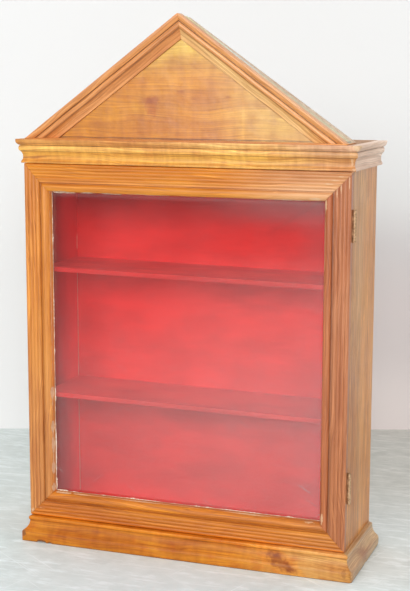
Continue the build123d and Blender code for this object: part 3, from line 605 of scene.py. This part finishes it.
M = {}
M["tymp"] = wood("tympanum_wood", X, 3.0, C_TYMP, contrast=0.48, broad=1.1, rings=0.15, ripple=0.16, crisp=0.7,
                 tint=tymp_tint, lines=edge_lines(Z, -516.6, [(1.4, 1.3, 0.85)]),
                 knots=[(-46.0, 563.0, 4.5, 0.8), (-5.8, 573.3, 2.8, 0.6), (54.2, 567.9, 2.0, 0.7),
                        (12.0, 566.0, 2.0, 0.35)],
                 coat=0.2, coat_rough=0.25)
M["base"] = wood("pediment_base_wood", X, 4.0, scaled(C_CORNICE, (0.80, 0.66, 0.8)), contrast=0.6)
n_r, n_l = Vector((-math.sin(SR), 0, -math.cos(SR))), Vector((math.sin(SL), 0, -math.cos(SL)))
P_r, P_l = Vector((200.2, 0, 516.6)), Vector((-205.0, 0, 516.6))
rake_marks = [(7.45, 0.75, 0.6), (13.9, 0.8, 0.6), (24.0, 0.6, 0.3)]


def rake_tint(t):
    # the right rake is painted paler and pinker than the left, most of all on its cove: painted sheen
    d = t.math("ADD", t.vec("DOT_PRODUCT", t.mm(), tuple(n_r)), -P_r.dot(n_r))
    return [(t.smooth(d, 13.8, 14.6), (1.12, 1.62, 2.40)), (t.smooth(d, 13.8, 13.2), (0.98, 1.05, 1.25))]


M["rake_r"] = wood("rake_right_wood", (-math.cos(SR), 0, math.sin(SR)), 5.0, C_RAKE, contrast=0.8,
                   tint=rake_tint,
                   lines=edge_lines(n_r, -P_r.dot(n_r), rake_marks))
M["rake_l"] = wood("rake_left_wood", (math.cos(SL), 0, math.sin(SL)), 6.0, scaled(C_RAKE, (0.95, 0.94, 1.05)), contrast=0.9,
                   lines=edge_lines(n_l, -P_l.dot(n_l), rake_marks))
corn = edge_lines((0, 0, -1), 515.2, [(7.6, 0.6, 0.5), (14.7, 0.6, 0.5)])
# the pale spots at the front right corner are painted highlights
M["corn_f"] = wood("cornice_front_wood", X, 7.0, C_CORNICE, contrast=0.8, ripple=0.5, ripple_u=5.2, lines=corn,
                   tint=cornice_tint, rough=0.44, coat=0.15, coat_rough=0.3,
                   spots=[((213.0, -9.0, 513.0), (3.0, 6.0, 3.0), 0.6), ((206.4, -6.0, 496.0), (1.4, 5.0, 5.0), 0.55),
                          ((209.0, -5.0, 488.0), (3.0, 5.0, 1.8), 0.6)])
# the right return is painted pale pinkish grey: painted sheen
M["corn_r"] = wood("cornice_right_wood", Y, 8.0, scaled(C_CORNICE, (1.09, 1.60, 8.6)), contrast=0.5, lines=corn)
M["corn_l"] = wood("cornice_left_wood", Y, 9.0, C_CORNICE, contrast=0.8, lines=corn)
plin = edge_lines((0, 0, 1), 0.0, [(0.2, 1.1, 0.8), (26.3, 0.8, 0.12)])
M["plin_f"] = wood("plinth_front_wood", X, 10.0, C_PLINTH, contrast=0.30, broad=1.4, ripple=0.45, ripple_u=9.0,
                   lines=plin, rough=0.54, ior=1.32, bare_and_glint=srgb(150, 92, 50),
                   spots=[((208.0, -14.0, 12.0), (3.0, 5.0, 9.0), 0.5), ((204.0, -16.0, 24.0), (14.0, 4.0, 2.0), 0.5)],
                   tint=plinth_tint, knots=[(124.0, 22.0, 4.0, 0.8), (142.0, 8.0, 4.0, 0.75)], coat=0.1, coat_rough=0.3)
M["plin_r"] = wood("plinth_right_wood", Y, 11.0, scaled(C_PLINTH, (1.02, 1.93, 19.0)), contrast=0.8, lines=plin,
                   knots=[(55.0, 14.0, 7.0, 0.8)], coat=0.2, coat_rough=0.25)
M["plin_l"] = wood("plinth_left_wood", Y, 12.0, C_PLINTH, contrast=0.8, lines=plin, coat=0.2, coat_rough=0.25)
M["st_l"] = wood("stile_left_wood", Z, 13.0, C_STILE_L, contrast=0.65, tint=stile_tint,
                 lines=edge_lines(X, 211.5, valleys(STILE_V, 21.3, 0.08)),
                 spots=[((-180.0, 5.6, 180.0), (1.0, 1.6, 11.0), 0.8), ((-180.0, 5.6, 142.0), (0.9, 1.6, 14.0), 0.85),
                        ((-180.0, 5.6, 106.0), (0.8, 1.6, 12.0), 0.8), ((-180.6, 5.0, 71.0), (1.6, 2.2, 6.0), 0.9),
                        ((-179.6, 6.0, 330.0), (0.7, 1.6, 115.0), 0.6), ((-210.6, 2.0, 52.0), (1.0, 2.0, 16.0), 0.7),
                        ((-208.0, 1.4, 38.0), (3.0, 1.6, 4.0), 0.6)])
# the spots at the top right sight corner and along the top right mitre are painted highlights
M["st_r"] = wood("stile_right_wood", Z, 14.0, C_STILE_R, contrast=0.8, coat=0.3, coat_rough=0.3,
                 tint=stile_right_tint,
                 lines=edge_lines((-1, 0, 0), 205.0, valleys(STILE_V, 21.3)),
                 spots=[((175.2, 2.6, 446.0), (1.6, 4.0, 8.0), 0.8), ((202.6, 0.0, 472.0), (0.8, 1.6, 7.0), 0.6),
                        ((193.0, 0.0, 466.0), (0.8, 1.6, 6.0), 0.6), ((188.2, 0.0, 460.0), (0.8, 1.6, 5.0), 0.6),
                        ((174.2, 3.6, 405.0), (0.9, 3.0, 38.0), 0.35), ((176.6, 2.6, 70.0), (1.8, 4.0, 7.0), 0.75)])
# the three spots along the right-hand mitre are painted highlights
M["ra_t"] = wood("top_rail_wood", X, 15.0, C_TOPRAIL, contrast=0.32, crisp=0.95, rough=0.48, coat=0.15, coat_rough=0.35,
                 tint=top_rail_tint,
                 lines=edge_lines((0, 0, -1), 485.0, [(24.4, 0.8, 0.14)]),
                 spots=[((-166.0, 3.4, 450.2), (14.0, 3.0, 1.9), 1.0), ((-126.0, 3.4, 450.0), (10.0, 3.0, 1.3), 0.8),
                        ((-100.0, 3.4, 450.0), (5.0, 3.0, 1.2), 0.7), ((-60.0, 3.4, 450.0), (16.0, 3.0, 1.0), 0.55),
                        ((164.0, 1.6, 452.6), (8.0, 3.0, 1.6), 0.75), ((128.0, 3.0, 450.4), (14.0, 3.0, 1.0), 0.5),
                        ((178.0, 0.0, 470.4), (6.0, 1.6, 0.9), 0.6), ((186.0, 0.0, 474.8), (5.0, 1.6, 0.8), 0.6),
                        ((193.0, 0.0, 479.2), (4.0, 1.6, 0.8), 0.6)])
# the bottom rail's lowest strip is painted lighter against the shade at the gap over the plinth, and its right end
# pinker: painted light and painted sheen
M["ra_b"] = wood("bottom_rail_wood", X, 16.0, C_BOTRAIL, contrast=0.7, broad=1.1, crisp=1.4, rough=0.52, coat=0.05,
                 tint=lambda t: [(t.smooth(t.xyz(t.mm())[2], 34.6, 33.6), (1.3, 1.3, 1.3)),
                                 (t.smooth(t.xyz(t.mm())[0], 100, 190), (0.93, 1.04, 2.6))],
                 lines=edge_lines(Z, -31.9, [(v, 0.6, 0.05) for v in RAIL_V] + [(21.4, 0.8, 0.20)]),
                 spots=[((-166.0, 6.2, 63.6), (13.0, 2.0, 1.0), 0.95), ((-110.0, 6.4, 64.0), (42.0, 1.2, 0.45), 0.7),
                        ((-20.0, 6.4, 64.0), (48.0, 1.2, 0.40), 0.6), ((84.0, 6.4, 64.0), (50.0, 1.2, 0.45), 0.65),
                        ((160.0, 5.0, 62.8), (9.0, 3.0, 1.5), 0.8), ((-196.0, 1.4, 42.0), (8.0, 1.6, 1.4), 0.6)])
M["beads"] = wood("bead_wood", X, 17.0, srgb(176, 120, 74), contrast=0.7, coat=0.2)
M["bead_z"] = wood("bead_wood_upright", Z, 18.0, srgb(176, 120, 74), contrast=0.7, coat=0.2)


def inside_side(t):
    x, y, z = t.xyz(t.mm())
    m = t.math("LESS_THAN", t.math("ABSOLUTE", x), 196.35)
    m = t.math("MULTIPLY", m, t.math("LESS_THAN", y, 119.4))
    return t.math("MULTIPLY", m, t.math("GREATER_THAN", z, 30.0))


def side_wood(name, seed):
    def layer(t):
        # painted shade: the inside faces of the sides are painted darker and purpler, and darker still towards the
        # front, where the door frame shades them
        col, h = paint_layer(t, Z, seed, shade_dim=0.86)
        x, y, z = t.xyz(t.mm())
        shade = t.smooth(y, 34, 112, 0.34, 1.22)
        col = t.gain(col, shade)
        # the corner joint at the back has opened and shows pale
        gap = t.noise(t.join(0.0, 0.0, t.math("DIVIDE", z, 9.0)), 1.0, 3.0, 0.6)
        open_ = t.math("MAXIMUM", t.smooth(z, 352, 340), t.math("MULTIPLY", t.smooth(z, 362, 368), t.smooth(z, 386, 380)))
        line = t.math("MULTIPLY", t.math("GREATER_THAN", y, 116.9), t.smooth(gap, 0.30, 0.46))
        line = t.math("MULTIPLY", line, open_)
        return inside_side(t), t.mix(t.math("MULTIPLY", line, 0.85), col, srgb(238, 202, 178)), h
    return wood(name, Z, seed, C_SIDE, contrast=0.95, broad=1.0, tint=side_tint, paint=layer, coat=0.1, coat_rough=0.3,
                knots=[(105.0, 101.0, 6.0, 0.5), (300.0, 20.0, 5.0, 0.5), (210.0, 60.0, 5.0, 0.3)] if seed == 20.0 else ())


M["side_r"] = side_wood("side_right_wood", 20.0)
M["side_l"] = side_wood("side_left_wood", 21.0)
below = lambda axis, value: (lambda t: t.math("LESS_THAN", t.xyz(t.mm())[axis], value))
above = lambda axis, value: (lambda t: t.math("GREATER_THAN", t.xyz(t.mm())[axis], value))
M["shelf"] = painted("shelf_paint", X, 30.0, top=(1.05, 3.00, 2.90))
M["shelf2"] = painted("shelf_lower_paint", X, 31.0, top=(0.90, 2.60, 2.50))
M["back"] = painted("back_panel_paint", X, 32.0, mask=below(1, 119.3), wood_along=Z, body=srgb(166, 124, 86), right=1.28)
M["bottom"] = painted("bottom_board_paint", X, 33.0, mask=above(2, 30.6))
M["head"] = painted("head_rail_paint", X, 34.0, mask=lambda t: t.math("MAXIMUM", above(1, 28.0)(t), below(2, 472.3)(t)))
M["top"] = painted("top_board_paint", X, 35.0, mask=below(2, 506.6), body=srgb(186, 136, 92))
M["raw"] = wood("unfinished_wood", X, 40.0, srgb(214, 186, 156), contrast=0.9, coat=0.0, rough=0.66)

# ------------------------------------------------------------------ metals
t = Tree("aged_brass_metal")
p = t.mm()
n1 = t.noise(p, 0.35, 4.0, 0.65)
n2 = t.noise(p, 2.2, 2.0, 0.6)
col = t.mix(t.smooth(n1, 0.35, 0.62), srgb(158, 122, 88), srgb(210, 172, 132))
col = t.mix(t.smooth(n2, 0.55, 0.75, 0.0, 0.45), col, srgb(92, 68, 52))
t.out(Base_Color=col, Metallic=0.35, Roughness=t.math("MULTIPLY_ADD", n1, -0.35, 0.68),
      Normal=t.bump(n2, 0.25, 0.0001))
BRASS = t.mat
t = Tree("dark_steel")
p = t.mm()
n1 = t.noise(p, 0.6, 4.0, 0.65)
col = t.mix(t.smooth(n1, 0.4, 0.65), srgb(74, 66, 60), srgb(120, 92, 70))
t.out(Base_Color=col, Metallic=0.8, Roughness=t.math("MULTIPLY_ADD", n1, 0.3, 0.35), Normal=t.bump(n1, 0.3, 0.0001))
STEEL = t.mat

# ------------------------------------------------------------------ glass
t = Tree("old_glass")
p = t.mm()
x, y, z = t.xyz(p)
facing = t.add("ShaderNodeLayerWeight", {"Blend": 0.5}).outputs["Facing"]
schlick = t.math("MULTIPLY_ADD", t.math("POWER", facing, 5.0), 0.96, 0.042)
ripple = t.bump(t.noise(p, 0.012, 2.0, 0.5), 0.05, 0.002)
clear = t.add("ShaderNodeBsdfTransparent", {"Color": (0.975, 0.985, 0.98)}).outputs[0]
gloss = t.add("ShaderNodeBsdfGlossy", {"Color": (1, 1, 1), "Roughness": 0.04, "Normal": ripple}).outputs[0]
m1 = t.add("ShaderNodeMixShader", {0: schlick, 1: clear, 2: gloss}).outputs[0]


def scratches(t, p, angle, length, width, lo, hi, seed):
    ca, sa = math.cos(angle), math.sin(angle)
    s = t.vec("DOT_PRODUCT", p, (ca, 0, sa))
    q = t.vec("DOT_PRODUCT", p, (-sa, 0, ca))
    nn = t.noise(t.join(t.math("DIVIDE", s, length), t.math("DIVIDE", q, width), seed), 1.0, 1.0, 0.5)
    gate = t.noise(t.join(t.math("DIVIDE", s, length * 1.3), t.math("DIVIDE", q, 30.0), seed + 9.0), 1.0, 2.0, 0.5)
    return t.math("MULTIPLY", t.smooth(nn, lo, hi), t.smooth(gate, 0.48, 0.62))


film = t.noise(p, 0.012, 4.0, 0.6)
# the film thickens towards the bottom and the right: painted reflection of the pale floor, on top of the dust
low = t.smooth(z, 340, 180)
right = t.smooth(x, -150, 110)
haze = t.math("MULTIPLY_ADD", film, 0.020, t.math("MULTIPLY", low, t.math("MULTIPLY_ADD", right, 0.018, 0.009)))
top = t.math("MULTIPLY", t.smooth(z, 408, 446), t.smooth(x, -20, 140))
haze = t.math("MULTIPLY_ADD", top, 0.040, haze)
haze = t.math("MULTIPLY_ADD", t.smooth(z, 441, 448), 0.022, haze)
haze = t.math("MULTIPLY_ADD", t.smooth(x, 118, 170), 0.012, haze)
rim = t.math("MAXIMUM", t.smooth(z, 443.5, 449.5), t.smooth(x, -173.0, -179.0))
rim = t.math("MULTIPLY", rim, t.smooth(t.noise(p, 0.25, 3.0, 0.6), 0.35, 0.6, 0.4, 1.0))
haze = t.math("MULTIPLY_ADD", rim, 0.030, haze)
marks = t.math("ADD", scratches(t, p, math.radians(-32), 60.0, 0.9, 0.70, 0.78, 3.0),
               scratches(t, p, math.radians(38), 80.0, 0.9, 0.71, 0.79, 7.0))
haze = t.math("ADD", haze, t.math("MULTIPLY", t.math("MULTIPLY", marks, low), 0.24))
dust_and_reflection = t.add("ShaderNodeBsdfDiffuse", {"Color": (0.85, 0.86, 0.86)}).outputs[0]
m2 = t.add("ShaderNodeMixShader", {0: haze, 1: m1, 2: dust_and_reflection}).outputs[0]
t.add("ShaderNodeOutputMaterial", {"Surface": m2})
GLASS = t.mat

# ------------------------------------------------------------------ members
V, S_ = "varnished_wood", "side_wood"
sight_l = [((-179.4, 6.0, 194.0), (2.3, 5.0, 9.0), 1.5, (-1, 0.2, 0)),
           ((-179.4, 6.0, 150.0), (2.0, 5.0, 8.0), 1.3, (-1, 0.2, 0)),
           ((-179.4, 6.0, 126.0), (1.6, 5.0, 11.0), 0.9, (-1, 0.2, 0)),
           ((-179.4, 6.0, 96.0), (1.8, 5.0, 8.0), 1.2, (-1, 0.2, 0)),
           ((-179.4, 6.0, 70.0), (2.4, 5.0, 5.0), 1.3, (-1, 0.2, 0))]
worked("door_stile_left", "door", Z, M["st_l"], chips=sight_l, seed=13.0, grime_gain=0.7)
worked("door_stile_right", "door", Z, M["st_r"], seed=14.0,
       chips=[((172.9, 6.0, 88.0), (1.5, 4.0, 6.0), 0.8, (1, 0.2, 0))])
worked("door_rail_top", "door", X, M["ra_t"], seed=15.0, grime_gain=0.2, wear=0.9,
       chips=[((-167.0, 6.2, 450.3), (13.0, 4.0, 2.0), 1.6, (0, 0.25, 1)),
              ((-126.0, 6.0, 449.9), (8.0, 3.0, 1.2), 0.7, (0, 0.2, 1)),
              ((-106.0, 6.0, 449.9), (4.0, 3.0, 1.0), 0.6, (0, 0.2, 1)),
              ((166.0, 6.0, 449.9), (5.0, 3.0, 1.0), 0.4, (0, 0.2, 1))])
worked("door_rail_bottom", "door", X, M["ra_b"], seed=16.0, grime_gain=0.25, wear=0.6,
       chips=[((-166.0, 6.2, 64.0), (12.0, 3.0, 1.7), 1.2, (0, 0.3, -1)),
              ((-140.0, 6.0, 64.2), (14.0, 2.0, 0.8), 0.5, (0, 0.3, -1)),
              ((-60.0, 6.0, 64.2), (30.0, 1.6, 0.6), 0.35, (0, 0.3, -1)),
              ((84.0, 6.0, 64.2), (26.0, 1.8, 0.7), 0.45, (0, 0.3, -1))])
near_top = lambda p: p.z > 514.6 and (p.y < -11.0 or abs(p.x) > 216.0)
worked("cornice_front", "case", X, M["corn_f"], seed=7.0, heavy=(near_top, 0.45), grime_gain=0.35,
       chips=[((216.0, -11.0, 514.0), (8.0, 8.0, 6.0), 0.9, (-1, 1, -1))])
worked("cornice_right", "case", Y, M["corn_r"], seed=8.0, heavy=(near_top, 0.9),
       chips=[((216.5, -10.0, 514.0), (7.0, 8.0, 6.0), 0.9, (-1, 1, -1))])
worked("cornice_left", "case", Y, M["corn_l"], seed=9.0, heavy=(near_top, 0.9))
worked("plinth_front", "case", X, M["plin_f"], seed=10.0, grime_gain=0.5,
       chips=[((-190.0, -13.0, 0.5), (6.5, 6.0, 3.6), 2.4, (0, 0.7, 1)),
              ((-178.0, -13.0, 0.5), (3.0, 4.0, 2.0), 1.0, (0, 0.7, 1)),
              ((-216.0, -12.0, 10.0), (5.0, 5.0, 4.0), 0.8, (1, 1, 0))])
worked("plinth_right", "case", Y, M["plin_r"], seed=11.0,
       chips=[((210.6, 129.5, 30.5), (6.0, 7.0, 5.0), 3.0, (-0.6, -1, -0.8)),
              ((217.5, 129.0, 18.0), (4.0, 5.0, 4.0), 1.4, (-1, -1, 0)),
              ((218.0, 60.0, 0.8), (3.0, 9.0, 2.0), 0.8, (-1, 0, 1))])
worked("plinth_left", "case", Y, M["plin_l"], seed=12.0)
worked("rake_right", "case", (-math.cos(SR), 0, math.sin(SR)), M["rake_r"], seed=5.0)
worked("rake_left", "case", (math.cos(SL), 0, math.sin(SL)), M["rake_l"], seed=6.0)
worked("shelf_upper", "case", X, M["shelf"], seed=30.0, step=6.0, wear=0.25, arris=0.4)
worked("shelf_lower", "case", X, M["shelf2"], seed=31.0, step=6.0, wear=0.25, arris=0.4)

eased("tympanum_panel", M["tymp"], 0.3)
eased("pediment_base", M["base"], 0.4)
for n in ("pediment_batten_left", "pediment_batten_right", "pediment_blocks", "base_blocks", "door_mitre_tongues"):
    eased(n, M["raw"], 0.3)
eased("side_left", M["side_l"], 0.4)
eased("side_right", M["side_r"], 0.4)
eased("top_board", M["top"], 0.4)
eased("bottom_board", M["bottom"], 0.3)
eased("back_panel", M["back"], 0.3)
eased("head_rail", M["head"], 0.3)
for n in ("bead_left", "bead_right"):
    eased(n, M["bead_z"], 0.5)
for n in ("bead_top", "bead_bottom"):
    eased(n, M["beads"], 0.5)
eased("glass_pane", GLASS, 0.0)
for n in N:
    if n.startswith("hinge") or n.startswith("catch") or n.startswith("strike"):
        eased(n, BRASS, 0.12)
eased("catch_ball", STEEL, 0.0)
eased("top_nails", STEEL, 0.1)
eased("back_pins", STEEL, 0.1)


# ------------------------------------------------------------------ old putty at the glass
t = Tree("old_putty")
p = t.mm()
n1 = t.noise(p, 0.5, 4.0, 0.65)
t.out(Base_Color=t.mix(t.smooth(n1, 0.42, 0.62), srgb(206, 170, 142), srgb(244, 232, 218)), Roughness=0.75,
      Normal=t.bump(n1, 0.4, 0.0002))
PUTTY = t.mat


def putty_run(name, start, end, inward, wide, seed, base=0.22, amp=0.55, rag=0.4, step=1.2):
    """A thin ragged fillet in the corner between the sight edge and the glass; wide is
    [(position, half length, width)] where more of it is left."""
    a, b, q = Vector(start), Vector(end), Vector(inward)
    run = (b - a).normalized()
    n = int((b - a).length / step)
    bm = bmesh.new()
    rings = []
    for i in range(n + 1):
        c = a.lerp(b, i / n)
        pos = c.dot(run)
        k = max(0.0, 0.5 + field(c, 11.0, seed)) * (0.6 + 0.6 * max(0.0, 0.5 + field(c, 2.3, seed + 4)))
        w = base * 0.5 + amp * k * k
        for mid, half, width in wide:
            e = abs(pos - mid) / half
            if e < 1.0:
                w = max(w, width * (1.0 - e ** 10) * (1.0 + rag * (field(c, 2.1, seed + 8) - 0.5)))
        if i in (0, n):
            w = 0.05
        h = min(1.1, 0.25 + w * 0.6)
        c = c + q * 0.02 + Vector((0, -0.02, 0))
        ring = [c, c + q * w, c + q * w * 0.55 + Vector((0, -h * 0.35, 0)), c + Vector((0, -h, 0))]
        rings.append([bm.verts.new((v - Vector((0.0, SH, 0.0))) / 1000.0)
                      for v in ring])
    for r0, r1 in zip(rings, rings[1:]):
        for j in range(4):
            bm.faces.new((r0[j], r0[(j + 1) % 4], r1[(j + 1) % 4], r1[j]))
    bm.faces.new(rings[0][::-1])
    bm.faces.new(rings[-1])
    bmesh.ops.recalc_face_normals(bm, faces=bm.faces[:])
    me = bpy.data.meshes.new(name)
    bm.to_mesh(me)
    bm.free()
    ob = bpy.data.objects.new(name, me)
    scene.collection.objects.link(ob)
    give(ob, PUTTY)
    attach(ob, "door")


putty_run("putty_bottom", (-179.2, 12.5, 64.2), (172.7, 12.5, 64.2), Z,
          [(-171.0, 8.0, 1.5), (-60.0, 26.0, 0.8), (70.0, 30.0, 0.8)], 51.0, amp=0.9)
putty_run("putty_left", (-179.4, 12.5, 64.6), (-179.4, 12.5, 449.4), X,
          [(190.0, 9.0, 1.6), (122.0, 24.0, 1.4), (74.0, 7.0, 1.8), (300.0, 20.0, 0.8)], 52.0, base=0.5, amp=0.6)
putty_run("putty_top", (-178.8, 12.5, 449.9), (172.7, 12.5, 449.9), (0, 0, -1),
          [(-162.4, 16.4, 1.9), (-132.0, 10.0, 1.1), (-98.0, 14.0, 1.3), (-40.0, 20.0, 0.9), (120.0, 26.0, 1.0)], 53.0,
          amp=0.5, rag=0.2)


# ------------------------------------------------------------------ stage
def quad(name, pts):
    me = bpy.data.meshes.new(name)
    me.from_pydata(pts, [], [tuple(range(len(pts)))])
    ob = bpy.data.objects.new(name, me)
    scene.collection.objects.link(ob)
    return ob


wc, wd = Vector((-0.1845, 0.5282, 0.0)), Vector((0.940, 0.340, 0.0)).normalized()
A_, B_ = wc - wd * 5.0, wc + wd * 5.0
floor = quad("floor", [(-6, -5.5, 0), (6, -5.5, 0), (B_.x + 1.3, B_.y, 0), tuple(B_), tuple(A_), (-6, A_.y, 0)])
wall = quad("wall", [tuple(A_), tuple(B_), (B_.x, B_.y, 3.4), (A_.x, A_.y, 3.4)])
t = Tree("floor_paint")
p = t.mm()
n1 = t.noise(p, 0.0035, 5.0, 0.6)


def scuffs(t, p, angle, length, width, lo, hi, seed):
    ca, sa = math.cos(angle), math.sin(angle)
    s = t.vec("DOT_PRODUCT", p, (ca, sa, 0))
    q = t.vec("DOT_PRODUCT", p, (-sa, ca, 0))
    nn = t.noise(t.join(t.math("DIVIDE", s, length), t.math("DIVIDE", q, width), seed), 1.0, 2.0, 0.5)
    return t.smooth(nn, lo, hi)


marks = t.math("MAXIMUM", scuffs(t, p, 0.10, 150.0, 4.2, 0.60, 0.76, 2.0), scuffs(t, p, -0.62, 190.0, 4.2, 0.64, 0.80, 5.0))
marks = t.math("MAXIMUM", marks, scuffs(t, p, 1.30, 120.0, 3.6, 0.66, 0.82, 8.0))
n2 = t.noise(p, 0.035, 4.0, 0.65)
n3 = t.noise(t.join(t.math("DIVIDE", t.xyz(p)[0], 46.0), t.math("DIVIDE", t.xyz(p)[1], 13.0), 0.0), 1.0, 4.0, 0.65)
col = t.mix(t.smooth(n1, 0.3, 0.7), srgb(204, 212, 209), srgb(217, 226, 224))
col = t.mix(t.smooth(n2, 0.35, 0.65, 0.0, 0.5), col, srgb(229, 237, 235))
col = t.mix(t.smooth(n3, 0.50, 0.68, 0.0, 0.85), col, srgb(236, 244, 244))
col = t.mix(t.math("MULTIPLY", marks, 0.80), col, srgb(244, 250, 250))
# painted light on the floor: bluer near the front against the warm light bounced from the case, lighter to the right of
# the case, and darker and warmer behind it on the right, a painted shadow of the case
near = t.smooth(t.xyz(p)[1], 60, -100)
col = t.mix(near, col, t.mix(1.0, col, (1.03, 1.08, 1.10), "MULTIPLY"))
side = t.math("MULTIPLY", t.smooth(t.xyz(p)[0], 90, 230), t.smooth(t.xyz(p)[1], 420, 220))
col = t.mix(side, col, t.mix(1.0, col, (1.06, 1.04, 1.04), "MULTIPLY"))
far = t.math("MULTIPLY", t.smooth(t.xyz(p)[0], -60, 60), t.smooth(t.xyz(p)[1], 120, 420))
col = t.mix(far, col, t.mix(1.0, col, (0.90, 0.83, 0.785), "MULTIPLY"))
# the table ends about a metre in front of the case; beyond it the floor is painted dark, painted shade for the dim room
col = t.mix(t.smooth(t.xyz(p)[1], -380, -1700), col, (0.22, 0.22, 0.22))
t.out(Base_Color=col, Roughness=t.math("MULTIPLY_ADD", n1, 0.2, 0.5))
give(floor, t.mat)
t = Tree("wall_paint")
x, y, z = t.xyz(t.mm())
# painted light on the wall: warmer to the right of the case, a painted pink bounce from it, and darker in a band beside
# it, a painted shadow of the case
warm = t.math("MULTIPLY", t.smooth(x, 10, 80), t.smooth(z, 430, 200))
col = t.mix(warm, srgb(243, 243, 243), srgb(248, 238, 236))
mid = t.math("MULTIPLY", t.math("MULTIPLY", t.smooth(z, 400, 300), t.smooth(z, 40, 150)), t.smooth(x, -20, 60))
t.out(Base_Color=t.mix(mid, col, t.mix(1.0, col, (0.88, 0.88, 0.89), "MULTIPLY")), Roughness=0.9)
give(wall, t.mat)

world = bpy.data.worlds.new("world")
world.use_nodes = True
world.node_tree.nodes["Background"].inputs[0].default_value = (1, 1, 1, 1)
world.node_tree.nodes["Background"].inputs[1].default_value = 0.43
scene.world = world


def area(name, loc, target, size, power, color=(1, 1, 1)):
    d = bpy.data.lights.new(name, "AREA")
    d.shape = "RECTANGLE"
    d.size, d.size_y = size
    d.energy = power
    d.color = color
    o = bpy.data.objects.new(name, d)
    o.location = loc
    o.rotation_mode = "QUATERNION"
    o.rotation_quaternion = (Vector(target) - Vector(loc)).to_track_quat("-Z", "Y")
    scene.collection.objects.link(o)
    return o


area("key", (-0.25, -2.75, 1.35), (0, 0.1, 0.32), (1.28, 0.92), 31)
area("key_right", (1.09, -2.52, 1.285), (0, 0.1, 0.32), (0.95, 0.9), 26.5)
area("low_front", (-0.66, -2.9, 0.62), (0.1, 0, 0.5), (0.7, 0.62), 17).visible_diffuse = False
area("right_fill", (2.4, -0.5, 1.1), (0, 0.1, 0.3), (1.6, 1.6), 4)
area("overhead", (0.3, -0.6, 2.7), (0.1, 0.0, 0), (2.4, 1.8), 13)
